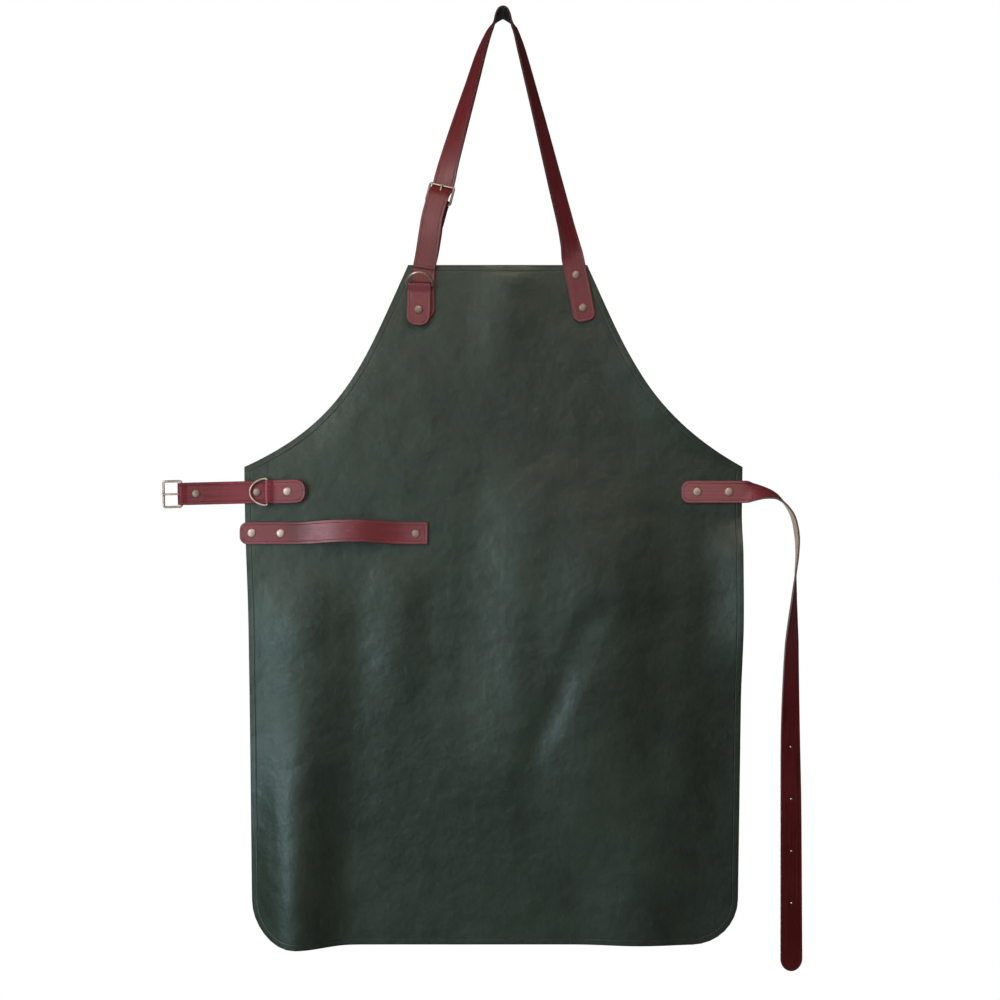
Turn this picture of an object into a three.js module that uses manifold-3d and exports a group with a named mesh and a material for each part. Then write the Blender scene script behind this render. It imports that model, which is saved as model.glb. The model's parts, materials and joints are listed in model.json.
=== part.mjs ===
// Leather work apron, hanging by its neck strap. Millimetres, +Z up, the front faces -Y.
// The origin is the underside of the neck strap at its highest point, where it hangs.

import * as THREE from 'three';
import { mergeVertices } from 'three/addons/utils/BufferGeometryUtils.js';
import Module from 'manifold-3d';

const wasm = await Module();
wasm.setup();

const DEGREE = Math.PI / 180;
const CLEARANCE = 0.3;
const MERGE_DISTANCE = 1e-4;
const FRONT = new THREE.Vector3(0, -1, 0);
const RIGHT = new THREE.Vector3(1, 0, 0);

// Panel: bib and skirt, cut from one hide
const PANEL = {
  thickness: 2,
  bibCentre: -6.4,
  waistCentre: -11.5,
  skirtCentre: -9.2,
  centrePower: 9,
  topZ: -301.8,
  waistZ: -544.2,
  hipZ: -600,
  thighZ: -740,
  hemZ: -1117.2,
  topHalf: 107.4,
  armholeRun: 109,
  armholeFlare: 82.6,
  armholePower: 4.5,
  hemHalf: 290.4,
  cornerRadius: 54,
  flatBand: [-642, -600, -562],
  bibRows: 9,
  skirtRows: 12,
  cornerRows: 6,
  columns: 30,
};
const WAIST_HALF = PANEL.topHalf + PANEL.armholeRun + PANEL.armholeFlare;

// Folds of the hanging panel: a ridge (or a valley, where forward is negative) along a line that
// passes x at middle height z and moves sideways by lean for each unit of height. It grows from
// the height top to the height full, and dies away from the height low to the height end, or
// reaches the hem where these are left out.
const FOLDS = [
  { x: 5, z: -360, lean: 0.1, reach: 50, forward: 5.5, top: -300, full: -318, low: -360, end: -470 },
  { x: -226, z: -420, lean: 0.45, reach: 84, forward: -9, top: -360, full: -410, low: -470, end: -560 },
  { x: 198, z: -440, lean: -0.5, reach: 80, forward: 9, top: -370, full: -430, low: -470, end: -545 },
  { x: -240, z: -760, lean: 0, reach: 74, forward: 10, top: -642, full: -740 },
  { x: -250, z: -980, lean: 0, reach: 66, forward: 24, top: -800, full: -1080 },
  { x: 164, z: -1080, lean: 0, reach: 80, forward: 9, top: -900, full: -1080 },
  { x: -128, z: -720, lean: 0, reach: 48, forward: 4.5, top: -642, full: -690, low: -760, end: -880 },
  { x: 38, z: -700, lean: 0.05, reach: 88, forward: 11.5, top: -500, full: -620, low: -820, end: -1000 },
  { x: 118, z: -760, lean: 0.05, reach: 84, forward: 20, top: -500, full: -700, low: -860, end: -1060 },
  { x: 196, z: -760, lean: 0.03, reach: 84, forward: 9, top: -600, full: -700, low: -900, end: -1080 },
  { x: 98, z: -740, lean: 0.41, reach: 30, forward: -3.2, top: -700, full: -740, low: -860, end: -930 },
  { x: 296, z: -660, lean: 0, reach: 60, forward: 17, top: -600, full: -650, low: -730, end: -830 },
];

// Straps, tabs and how their ends are cut
const STRAP = { width: 27, foldWidth: 26.4, thickness: 2.6 };
const TAB = { width: 28.5, foldWidth: 27.4, thickness: 1.8 };
const STRAP_MIDDLE = -PANEL.thickness / 2 - CLEARANCE - STRAP.thickness / 2;
const STRAP_FACE = STRAP_MIDDLE - STRAP.thickness / 2;
const TAB_FACE = STRAP_FACE - 2 * (CLEARANCE + TAB.thickness);
const ENDS = {
  round: { length: 11, power: 2, blunt: 0.34 },
  tip: { length: 11, power: 1.8, blunt: 0.3 },
  square: { length: 1.4, power: 2, blunt: 0.9 },
};
const END_STEPS = [0, 0.08, 0.3, 0.62];
const STATION_SPACING = { neckShort: 14, neckLong: 9, waistShort: 40, waistLong: 16, tab: 30, towel: 20 };

// Wire hardware: buckle frames, prongs and D-rings
const WIRE = 3;
const BEVEL = 0.9;
const BAR_SLEEVE = WIRE / 2 + 0.6;
const BUCKLE = { width: 33.8, length: 24.5, corner: 2.6, innerCorner: 0.8, arcSteps: 2 };
const PRONG = {
  width: 2.4,
  under: 1.85,
  thickness: 1.45,
  reach: 23.2,
  eye: 3.4,
  bore: 2.05,
  clearance: 0.4,
  arcSteps: 7,
};
const RING = { width: 35, depth: 22.6, corner: 1.5, arcSteps: 6 };
const SLOT = { width: 3.4, front: 6.5, back: 9 };

// Folds of leather round a bar
const FOLD_RUN = 8;
const FOLD_START = FOLD_RUN + 1;
const FOLD_STEPS = [1, 0.75, 0.5, 0.25];
const FOLD_ARC_STEPS = 6;
const STRAP_RETURN = 27;
const TAB_RETURN = 44;

// Rivets, whose cap's outline is in shares of its radius and height, and the punched holes of the
// long waist strap
const RIVET = { cap: 4.8, dome: 1.8, shank: 1.6, back: 4.2, backHeight: 1.2, backFlat: 2.9, sides: 10 };
const CAP_OUTLINE = [
  { radius: 1, height: 0 },
  { radius: 0.94, height: 0.4 },
  { radius: 0.6, height: 0.85 },
  { radius: 0, height: 1 },
];
const PUNCH = { x: 344.8, topZ: -879, radius: 1.3, pitch: 62.4, count: 4, sides: 10 };

// Neck: the buckle's heel bar, the strap below it, the tail in front of that, and the loop above
const NECK_HEEL = { x: -78.1, y: -1.24, z: -227.4, lean: 14.6, turn: 15 };
const NECK_FOLD_RIVET = 17.7;
const NECK_FOLD_FLAT = 24.9;
const NECK_SHORT = [
  { x: -95.4, y: STRAP_MIDDLE, z: -366, turn: 0 },
  { x: -95.2, y: STRAP_MIDDLE, z: -330, turn: 0 },
  { x: -94.2, y: STRAP_MIDDLE, z: -303, turn: 0 },
  { x: -91.2, y: STRAP_MIDDLE, z: -291, turn: 1.5 },
  { x: -86.2, y: STRAP_MIDDLE, z: -262, turn: 8 },
];
const NECK_TAIL = [
  { x: -94.4, y: -5.6, z: -306.6, turn: 0 },
  { x: -91.6, y: -5.8, z: -291, turn: 1.5 },
  { x: -87.2, y: -6.9, z: -262, turn: 8 },
];
const NECK_WEAVE = [
  { along: 20, out: 6.8 },
  { along: 8, out: 6.8 },
  { along: 0, out: 6.5 },
  { along: -8, out: 5.7 },
  { along: -13, out: 3 },
  { along: -16.2, out: -0.6 },
  { along: -19, out: -2.8 },
  { along: -22, out: -3.4 },
  { along: -31, out: -2.8 },
];
const NECK_LOOP = [
  { x: -65.4, y: 0.6, z: -180.6, turn: 25 },
  { x: -51.6, y: 0, z: -132.6, turn: 40 },
  { x: -37.2, y: 0, z: -84.6, turn: 54 },
  { x: -25.8, y: 0, z: -46.2, turn: 63 },
  { x: -18.8, y: 0, z: -27, turn: 71 },
  { x: -13.6, y: 0, z: -15.6, turn: 75 },
  { x: -6.4, y: 0, z: -3.6, turn: 99 },
  { x: 0, y: 0, z: STRAP.thickness / 2, turn: 108 },
  { x: 6.2, y: 0, z: -3.6, turn: 99 },
  { x: 13.2, y: 0, z: -15.6, turn: 76 },
  { x: 17.4, y: 0, z: -27, turn: 74 },
  { x: 20.6, y: 0, z: -38, turn: 70 },
  { x: 40.2, y: 0, z: -113.4, turn: 60 },
  { x: 64.2, y: -0.4, z: -209.4, turn: 46.5 },
  { x: 76.2, y: -1.6, z: -257.4, turn: 40 },
  { x: 81.4, y: -3.4, z: -281, turn: 27 },
  { x: 83.9, y: STRAP_MIDDLE, z: -296, turn: 0 },
  { x: 85.4, y: STRAP_MIDDLE, z: -303, turn: 0 },
  { x: 92, y: STRAP_MIDDLE, z: -335, turn: 0 },
  { x: 99, y: STRAP_MIDDLE, z: -369.6, turn: 0 },
];
const NECK_RING = { x: -100, z: -326.6, lean: 2, swing: 52, tabReach: 48.4, tabRivet: 29.2 };

// Waist: the buckle's heel bar on the left, the long strap on the right
const WAIST_HEEL = { x: -385.5, y: -1.15, z: -576.6, rise: 1.4 };
const WAIST_SHORT_END = 144;
const WAIST_RING = { along: 103.7, swing: -5.6, tabReach: 45.5 };
const WAIST_RIVETS = { fold: 17.7, ring: 90.9, tab: 127.5 };
const WAIST_LONG = [
  { x: 213.6, y: STRAP_MIDDLE, z: -574, turn: 0 },
  { x: 250, y: STRAP_MIDDLE, z: -574, turn: 0 },
  { x: 280, y: STRAP_MIDDLE, z: -574, turn: 0 },
  { x: 290, y: STRAP_MIDDLE, z: -574, turn: 0 },
  { x: 300, y: STRAP_MIDDLE, z: -574.2, turn: 39 },
  { x: 312, y: STRAP_MIDDLE, z: -574.9, turn: 59 },
  { x: 326.4, y: STRAP_MIDDLE, z: -578.6, turn: 75 },
  { x: 336.6, y: STRAP_MIDDLE, z: -586.7, turn: 85 },
  { x: 347, y: STRAP_MIDDLE, z: -601.8, turn: 90 },
  { x: 352.3, y: STRAP_MIDDLE, z: -625, turn: 91 },
  { x: 352.8, y: STRAP_MIDDLE, z: -647.4, turn: 86 },
  { x: 350.6, y: STRAP_MIDDLE, z: -674, turn: 81 },
  { x: 348.6, y: STRAP_MIDDLE, z: -706.2, turn: 69 },
  { x: 346.2, y: STRAP_MIDDLE, z: -754.2, turn: 48 },
  { x: 345, y: STRAP_MIDDLE, z: -802.2, turn: 38 },
  { x: 344.4, y: STRAP_MIDDLE, z: -862.2, turn: 27 },
  { x: 345, y: STRAP_MIDDLE, z: -946.2, turn: 17 },
  { x: 345.6, y: STRAP_MIDDLE, z: -1148.4, turn: 8 },
];

// Towel strap: flat at its riveted ends, bowed out and up between them
const TOWEL = {
  left: -315.6,
  right: -90,
  z: -623.6,
  bowLeft: -256,
  bowRight: -113,
  bow: 14,
  lift: 3.4,
  rows: 15,
};

// Places of the rivets that go through straps and panel
const PANEL_RIVETS = [
  { name: 'neck_right_rivet_upper', x: 87.7, z: -313.8, strap: 'neck_strap_long' },
  { name: 'neck_right_rivet_lower', x: 95.8, z: -353.4, strap: 'neck_strap_long' },
  { name: 'waist_right_rivet_inner', x: 232.8, z: -573.8, strap: 'waist_strap_long' },
  { name: 'waist_right_rivet_outer', x: 270.6, z: -573.8, strap: 'waist_strap_long' },
  { name: 'towel_rivet_outer', x: -301.2, z: -623.2, strap: 'towel_strap' },
  { name: 'towel_rivet_inner', x: -266.4, z: -623.6, strap: 'towel_strap' },
  { name: 'towel_rivet_right', x: -104.4, z: -624, strap: 'towel_strap' },
];

const FINISH = {
  panel: { color: 0x3b403a, roughness: 0.5, metalness: 0 },
  strap: { color: 0x713f42, roughness: 0.45, metalness: 0 },
  metal: { color: 0x9c8a80, roughness: 0.3, metalness: 1 },
};

const apron = new THREE.Group();

// Adds one named piece, placed by a matrix where it was made in a frame of its own.
function addPiece(name, geometry, finish, matrix = new THREE.Matrix4()) {
  geometry.computeVertexNormals();
  const piece = new THREE.Mesh(geometry, new THREE.MeshStandardMaterial(FINISH[finish]));
  piece.name = name;
  piece.applyMatrix4(matrix);
  apron.add(piece);
}

// Cutting

function solidOf(geometry) {
  const plain = geometry.clone();
  plain.deleteAttribute('normal');
  plain.deleteAttribute('uv');
  const merged = mergeVertices(plain, MERGE_DISTANCE);
  const vertProperties = new Float32Array(merged.attributes.position.array);
  const triVerts = new Uint32Array(merged.index.array);
  return new wasm.Manifold(new wasm.Mesh({ numProp: 3, vertProperties, triVerts }));
}

function cutOut(geometry, cutters) {
  let body = solidOf(geometry);
  for (const cutter of cutters) {
    body = body.subtract(solidOf(cutter));
  }
  const mesh = body.getMesh();
  const result = new THREE.BufferGeometry();
  result.setAttribute('position', new THREE.BufferAttribute(new Float32Array(mesh.vertProperties), 3));
  result.setIndex(new THREE.BufferAttribute(new Uint32Array(mesh.triVerts), 1));
  return result;
}

// Frames: u runs along a strap, n out of its face, w across it

function frameAt(origin, along, face) {
  const u = along.clone().normalize();
  const n = face.clone().addScaledVector(u, -face.dot(u)).normalize();
  const w = u.clone().cross(n);
  const matrix = new THREE.Matrix4().makeBasis(u, n, w).setPosition(origin);
  return { u, n, w, matrix };
}

function placed(frame, u, n, w = 0) {
  return new THREE.Vector3(u, n, w).applyMatrix4(frame.matrix);
}

// The same frame turned about its own w axis, so that a part that hangs on a bar can swing.
function swung(frame, degrees) {
  const turn = new THREE.Matrix4().makeRotationZ(-degrees * DEGREE);
  return { matrix: frame.matrix.clone().multiply(turn) };
}

// Sheets of leather

function ramp(from, to, value) {
  return THREE.MathUtils.smoothstep((value - from) / (to - from), 0, 1);
}

// A closed slab round a grid of points with normals. Rows run along the sheet, columns across it.
function slab(rows, thickness) {
  const position = [];
  for (const side of [0.5, -0.5]) {
    for (const { point, normal } of rows.flat()) {
      position.push(...point.clone().addScaledVector(normal, side * thickness).toArray());
    }
  }
  const columns = rows[0].length;
  const back = rows.length * columns;
  const lastRow = rows.length - 1;
  const lastColumn = columns - 1;
  const at = (row, column) => row * columns + column;
  const index = [];
  const quad = (a, b, c, d) => index.push(a, b, c, a, c, d);
  for (let r = 0; r < lastRow; r += 1) {
    for (let c = 0; c < lastColumn; c += 1) {
      quad(at(r, c), at(r, c + 1), at(r + 1, c + 1), at(r + 1, c));
      quad(back + at(r, c), back + at(r + 1, c), back + at(r + 1, c + 1), back + at(r, c + 1));
    }
    quad(at(r, 0), at(r + 1, 0), back + at(r + 1, 0), back + at(r, 0));
    quad(at(r, lastColumn), back + at(r, lastColumn), back + at(r + 1, lastColumn), at(r + 1, lastColumn));
  }
  for (let c = 0; c < lastColumn; c += 1) {
    quad(at(0, c), back + at(0, c), back + at(0, c + 1), at(0, c + 1));
    quad(at(lastRow, c), at(lastRow, c + 1), back + at(lastRow, c + 1), back + at(lastRow, c));
  }
  const geometry = new THREE.BufferGeometry();
  geometry.setAttribute('position', new THREE.Float32BufferAttribute(position, 3));
  geometry.setIndex(index);
  return geometry;
}

// A strap through stations, each with its middle point, the way it faces and its width.
function ribbon(stations, thickness) {
  const rows = stations.map((station, i) => {
    const before = stations[Math.max(i - 1, 0)].point;
    const after = stations[Math.min(i + 1, stations.length - 1)].point;
    const along = after.clone().sub(before).normalize();
    const across = along.clone().cross(station.face).normalize();
    const normal = across.clone().cross(along);
    const edge = (side) => station.point.clone().addScaledVector(across, side * station.width);
    return [-0.5, 0.5].map((side) => ({ point: edge(side), normal }));
  });
  return slab(rows, thickness);
}

// Rows of a table made into stations: turn is the angle from facing forward to facing outward.
function hung(table, width) {
  const points = table.map((row) => row.point ?? new THREE.Vector3(row.x, row.y, row.z));
  return table.map((row, i) => {
    const before = points[Math.max(i - 1, 0)];
    const after = points[Math.min(i + 1, points.length - 1)];
    const along = after.clone().sub(before).setY(0).normalize();
    const outward = new THREE.Vector3(-along.z, 0, along.x);
    const turn = (row.turn ?? 0) * DEGREE;
    const turned = FRONT.clone().multiplyScalar(Math.cos(turn)).addScaledVector(outward, Math.sin(turn));
    return { point: points[i], face: row.face ?? turned, width };
  });
}

// Moves the end station inwards by the length of its cut end, and returns the stations of that end.
function cutEnd(stations, first, next, shape) {
  const { point, face, width } = stations[first];
  const inward = stations[next].point.clone().sub(point).normalize();
  stations[first] = { point: point.clone().addScaledVector(inward, shape.length), face, width };
  return END_STEPS.map((step) => {
    const share = (1 - (1 - step) ** shape.power) ** (1 / shape.power);
    return {
      point: point.clone().addScaledVector(inward, step * shape.length),
      face,
      width: width * Math.max(shape.blunt, share),
    };
  });
}

// A smooth run of stations through the given ones, with cut ends where they are named.
function strapRun(stations, spacing, startEnd, finishEnd) {
  const knots = [...stations];
  const start = startEnd ? cutEnd(knots, 0, 1, ENDS[startEnd]) : [];
  const finish = finishEnd ? cutEnd(knots, knots.length - 1, knots.length - 2, ENDS[finishEnd]) : [];
  const last = knots.length - 1;
  const curve = new THREE.CatmullRomCurve3(knots.map((knot) => knot.point), false, 'centripetal');
  const run = [];
  for (let i = 0; i < last; i += 1) {
    const steps = Math.ceil(knots[i].point.distanceTo(knots[i + 1].point) / spacing);
    for (let k = 0; k < steps; k += 1) {
      const share = k / steps;
      run.push({
        point: curve.getPoint((i + share) / last),
        face: knots[i].face.clone().lerp(knots[i + 1].face, share).normalize(),
        width: THREE.MathUtils.lerp(knots[i].width, knots[i + 1].width, share),
      });
    }
  }
  return [...start, ...run, knots[last], ...finish.reverse()];
}

// A strap's turn round a bar at the origin of a frame: down to the bar on its front, round it, and
// back behind it. The layers rest at the heights frontRest and backRest past the fold.
function barFold(frame, leather, frontRest, backRest, backReach) {
  const radius = BAR_SLEEVE + leather.thickness / 2;
  const station = (u, n, faceU, faceN, share) => ({
    point: placed(frame, u, n),
    face: frame.u.clone().multiplyScalar(faceU).addScaledVector(frame.n, faceN),
    width: THREE.MathUtils.lerp(leather.foldWidth, leather.width, share),
  });
  const layer = (rest, side) => FOLD_STEPS.map((step) => {
    const share = ramp(0, 1, step);
    return station(step * FOLD_RUN, THREE.MathUtils.lerp(side * radius, rest, share), 0, side, share);
  });
  const turn = [];
  for (let k = 0; k <= FOLD_ARC_STEPS; k += 1) {
    const angle = (k / FOLD_ARC_STEPS) * Math.PI;
    const u = -Math.sin(angle);
    const n = Math.cos(angle);
    turn.push(station(radius * u, radius * n, u, n, 0));
  }
  const end = station(backReach, backRest, 0, -1, 1);
  return [...layer(frontRest, 1), ...turn, ...layer(backRest, -1).reverse(), end];
}

// Panel

function panelHalf(z) {
  if (z > PANEL.waistZ) {
    const share = (PANEL.topZ - z) / (PANEL.topZ - PANEL.waistZ);
    return PANEL.topHalf + PANEL.armholeRun * share + PANEL.armholeFlare * share ** PANEL.armholePower;
  }
  const share = (PANEL.waistZ - z) / (PANEL.waistZ - PANEL.hemZ);
  const side = THREE.MathUtils.lerp(WAIST_HALF, PANEL.hemHalf, share);
  const rise = Math.min(z - PANEL.hemZ, PANEL.cornerRadius);
  return side - PANEL.cornerRadius + Math.sqrt(PANEL.cornerRadius ** 2 - (PANEL.cornerRadius - rise) ** 2);
}

function panelCentre(z) {
  const share = THREE.MathUtils.clamp((PANEL.topZ - z) / (PANEL.topZ - PANEL.waistZ), 0, 1);
  const upper = THREE.MathUtils.lerp(PANEL.bibCentre, PANEL.waistCentre, share ** PANEL.centrePower);
  return upper + (PANEL.skirtCentre - PANEL.waistCentre) * ramp(PANEL.hipZ, PANEL.thighZ, z);
}

function drape(x, z) {
  let forward = 0;
  for (const fold of FOLDS) {
    const away = (x - fold.x - fold.lean * (z - fold.z)) / fold.reach;
    if (Math.abs(away) < 1) {
      const grown = ramp(fold.top, fold.full, z);
      const faded = fold.end ? ramp(fold.low, fold.end, z) : 0;
      forward += fold.forward * grown * (1 - faded) * Math.cos(away * Math.PI / 2) ** 2;
    }
  }
  return -forward;
}

function panelPoint(x, z) {
  const step = 1;
  const slopeX = (drape(x + step, z) - drape(x - step, z)) / (2 * step);
  const slopeZ = (drape(x, z + step) - drape(x, z - step)) / (2 * step);
  return {
    point: new THREE.Vector3(x, drape(x, z), z),
    normal: new THREE.Vector3(slopeX, -1, slopeZ).normalize(),
  };
}

// Heights of the sheet's rows. The flat band has rows of its own, where the straps lie on the panel.
function panelHeights() {
  const heights = [];
  const cornerTop = PANEL.hemZ + PANEL.cornerRadius;
  for (let k = 0; k < PANEL.cornerRows; k += 1) {
    const angle = (k / PANEL.cornerRows) * Math.PI / 2;
    heights.push(cornerTop - PANEL.cornerRadius * Math.cos(angle));
  }
  for (let k = 0; k < PANEL.skirtRows; k += 1) {
    heights.push(THREE.MathUtils.lerp(cornerTop, PANEL.flatBand[0], k / PANEL.skirtRows));
  }
  heights.push(...PANEL.flatBand);
  for (let k = 0; k <= PANEL.bibRows; k += 1) {
    heights.push(THREE.MathUtils.lerp(PANEL.waistZ, PANEL.topZ, k / PANEL.bibRows));
  }
  return heights;
}

function panelSheet() {
  const rows = panelHeights().map((z) => {
    const row = [];
    for (let c = 0; c <= PANEL.columns; c += 1) {
      const across = (2 * c) / PANEL.columns - 1;
      row.push(panelPoint(panelCentre(z) + across * panelHalf(z), z));
    }
    return row;
  });
  return slab(rows, PANEL.thickness);
}

// Hardware, made in a frame with the bar on its w axis

function wireOutline(outline, opening, curveSegments) {
  outline.holes.push(opening);
  const geometry = new THREE.ExtrudeGeometry(outline, {
    depth: WIRE - 2 * BEVEL,
    bevelThickness: BEVEL,
    bevelSize: BEVEL,
    bevelOffset: -BEVEL,
    bevelSegments: 2,
    curveSegments,
  });
  geometry.translate(0, 0, BEVEL - WIRE / 2);
  return geometry.rotateX(Math.PI / 2);
}

function roundedOblong(path, left, right, half, corner) {
  path.moveTo(left + corner, -half);
  path.lineTo(right - corner, -half);
  path.absarc(right - corner, corner - half, corner, -Math.PI / 2, 0, false);
  path.absarc(right - corner, half - corner, corner, 0, Math.PI / 2, false);
  path.absarc(left + corner, half - corner, corner, Math.PI / 2, Math.PI, false);
  path.absarc(left + corner, corner - half, corner, Math.PI, 1.5 * Math.PI, false);
  path.closePath();
  return path;
}

function buckleFrame() {
  const right = WIRE / 2;
  const left = right - BUCKLE.length;
  const outline = roundedOblong(new THREE.Shape(), left, right, BUCKLE.width / 2, BUCKLE.corner);
  const innerHalf = BUCKLE.width / 2 - WIRE;
  const opening = roundedOblong(new THREE.Path(), left + WIRE, -right, innerHalf, BUCKLE.innerCorner);
  return wireOutline(outline, opening, BUCKLE.arcSteps);
}

function dRing() {
  const half = RING.width / 2;
  const bar = WIRE / 2;
  const outline = new THREE.Shape();
  outline.moveTo(bar, RING.corner - half);
  outline.lineTo(bar, half - RING.corner);
  outline.absarc(bar - RING.corner, half - RING.corner, RING.corner, 0, Math.PI / 2, false);
  outline.absellipse(0, 0, RING.depth, half, Math.PI / 2, 1.5 * Math.PI, false, 0);
  outline.absarc(bar - RING.corner, RING.corner - half, RING.corner, -Math.PI / 2, 0, false);
  const innerDepth = RING.depth - WIRE;
  const innerHalf = half - WIRE;
  const start = Math.PI - Math.acos(bar / innerDepth);
  const opening = new THREE.Path();
  opening.absellipse(0, 0, innerDepth, innerHalf, start, 2 * Math.PI - start, false, 0);
  opening.closePath();
  return wireOutline(outline, opening, RING.arcSteps);
}

function prong() {
  const top = PRONG.under + PRONG.thickness;
  const tip = PRONG.thickness / 2;
  const neck = Math.sqrt(PRONG.eye ** 2 - PRONG.under ** 2);
  const outline = new THREE.Shape();
  outline.moveTo(tip - PRONG.reach, PRONG.under);
  outline.lineTo(-neck, PRONG.under);
  outline.absarc(0, 0, PRONG.eye, Math.atan2(PRONG.under, -neck), 2.5 * Math.PI, false);
  outline.lineTo(tip - PRONG.reach, top);
  outline.absarc(tip - PRONG.reach, PRONG.under + tip, tip, Math.PI / 2, 1.5 * Math.PI, false);
  const bore = new THREE.Path();
  bore.absarc(0, 0, PRONG.bore, 0, 2 * Math.PI, true);
  outline.holes.push(bore);
  const options = { depth: PRONG.width, bevelEnabled: false, curveSegments: PRONG.arcSteps };
  return new THREE.ExtrudeGeometry(outline, options).translate(0, 0, -PRONG.width / 2);
}

// The slot in a folded strap that leaves the prong's eye free to turn.
function slotCutter(frame) {
  const length = SLOT.front + SLOT.back;
  const box = new THREE.BoxGeometry(length, 2 * SLOT.back, SLOT.width);
  return box.translate(SLOT.front - length / 2, 0, 0).applyMatrix4(frame.matrix);
}

// The hole that the fastened prong comes through.
function prongHoleCutter(frame) {
  const spare = 2 * PRONG.clearance;
  const box = new THREE.BoxGeometry(PRONG.reach, PRONG.thickness + spare, PRONG.width + spare);
  return box.translate(-PRONG.reach / 2, PRONG.under + PRONG.thickness / 2, 0).applyMatrix4(frame.matrix);
}

// Rivets: the leather's front is at height 0 on the axis, its back at minus the stack

function rivet(stack) {
  const front = CLEARANCE;
  const back = -stack - CLEARANCE;
  const profile = [
    [0, back - RIVET.backHeight],
    [RIVET.backFlat, back - RIVET.backHeight],
    [RIVET.back, back],
    [RIVET.shank, back],
    [RIVET.shank, front],
    ...CAP_OUTLINE.map(({ radius, height }) => [radius * RIVET.cap, front + height * RIVET.dome]),
  ];
  return new THREE.LatheGeometry(profile.map(([r, y]) => new THREE.Vector2(r, y)), RIVET.sides);
}

function boreCutter(frame, stack, radius, sides) {
  const length = stack + 4 * radius;
  return new THREE.CylinderGeometry(radius, radius, length, sides).translate(0, -stack / 2, 0)
    .applyMatrix4(frame.matrix);
}

const cutters = {};

function cutFrom(names, cutter) {
  for (const name of names) {
    cutters[name] = [...(cutters[name] ?? []), cutter];
  }
}

function addRivet(name, frame, stack, through) {
  addPiece(name, rivet(stack), 'metal', frame.matrix);
  cutFrom(through, boreCutter(frame, stack, RIVET.shank + CLEARANCE, RIVET.sides));
}

// A rivet through the panel and what lies on it, whose front is at the given depth.
function addPanelRivet(name, x, z, frontY, through) {
  const frame = frameAt(new THREE.Vector3(x, frontY, z), RIGHT, FRONT);
  addRivet(name, frame, PANEL.thickness / 2 - frontY, ['apron_panel', ...through]);
}

function addStrap(name, stations, leather) {
  const sheet = ribbon(stations, leather.thickness);
  addPiece(name, cutOut(sheet, cutters[name] ?? []), 'strap');
}

// Frames of the four pieces of hardware

const neckLean = NECK_HEEL.lean * DEGREE;
const neckTurn = NECK_HEEL.turn * DEGREE;
const neckDown = new THREE.Vector3(-Math.sin(neckLean), 0, -Math.cos(neckLean));
const neckOutward = new THREE.Vector3(neckDown.z, 0, -neckDown.x);
const neckFace = FRONT.clone().multiplyScalar(Math.cos(neckTurn))
  .addScaledVector(neckOutward, Math.sin(neckTurn));
const neckHeel = new THREE.Vector3(NECK_HEEL.x, NECK_HEEL.y, NECK_HEEL.z);
const neckBuckle = frameAt(neckHeel, neckDown, neckFace);

const ringY = STRAP_FACE - CLEARANCE - TAB.thickness - BAR_SLEEVE;
const ringLean = NECK_RING.lean * DEGREE;
const ringDown = new THREE.Vector3(-Math.sin(ringLean), 0, -Math.cos(ringLean));
const neckRing = frameAt(new THREE.Vector3(NECK_RING.x, ringY, NECK_RING.z), ringDown, FRONT);

const waistRise = WAIST_HEEL.rise * DEGREE;
const waistAlong = new THREE.Vector3(Math.cos(waistRise), 0, Math.sin(waistRise));
const waistHeel = new THREE.Vector3(WAIST_HEEL.x, WAIST_HEEL.y, WAIST_HEEL.z);
const waistBuckle = frameAt(waistHeel, waistAlong, FRONT);
const waistRingPlace = placed(waistBuckle, WAIST_RING.along, 0).setY(ringY);
const waistRing = frameAt(waistRingPlace, waistAlong, FRONT);

// Metal pieces and the openings that they need

addPiece('neck_buckle_frame', buckleFrame(), 'metal', neckBuckle.matrix);
addPiece('neck_buckle_prong', prong(), 'metal', neckBuckle.matrix);
addPiece('waist_buckle_frame', buckleFrame(), 'metal', waistBuckle.matrix);
addPiece('waist_buckle_prong', prong(), 'metal', waistBuckle.matrix);
addPiece('neck_ring', dRing(), 'metal', swung(neckRing, NECK_RING.swing).matrix);
addPiece('waist_ring', dRing(), 'metal', swung(waistRing, WAIST_RING.swing).matrix);
cutFrom(['neck_strap_short'], slotCutter(neckBuckle));
cutFrom(['waist_strap_short'], slotCutter(waistBuckle));
cutFrom(['neck_strap_long'], prongHoleCutter(neckBuckle));

const strapFoldRest = (STRAP.thickness + CLEARANCE) / 2;
const strapFoldFace = strapFoldRest + STRAP.thickness / 2;
const foldRivets = [
  { name: 'neck_fold_rivet', frame: neckBuckle, along: NECK_FOLD_RIVET, strap: 'neck_strap_short' },
  { name: 'waist_fold_rivet', frame: waistBuckle, along: WAIST_RIVETS.fold, strap: 'waist_strap_short' },
];
for (const { name, frame, along, strap } of foldRivets) {
  const seat = frameAt(placed(frame, along, strapFoldFace), frame.u, frame.n);
  addRivet(name, seat, 2 * strapFoldFace, [strap]);
}
for (const { name, x, z, strap } of PANEL_RIVETS) {
  addPanelRivet(name, x, z, STRAP_FACE, [strap]);
}
const neckTabSeat = placed(neckRing, NECK_RING.tabRivet, 0);
const waistRingSeat = placed(waistBuckle, WAIST_RIVETS.ring, 0);
const waistTabSeat = placed(waistBuckle, WAIST_RIVETS.tab, 0);
const neckTabLayers = ['neck_strap_short', 'neck_ring_tab'];
const waistTabLayers = ['waist_strap_short', 'waist_ring_tab'];
addPanelRivet('neck_tab_rivet', neckTabSeat.x, neckTabSeat.z, TAB_FACE, neckTabLayers);
addPanelRivet('waist_ring_rivet', waistRingSeat.x, waistRingSeat.z, STRAP_FACE, ['waist_strap_short']);
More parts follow.
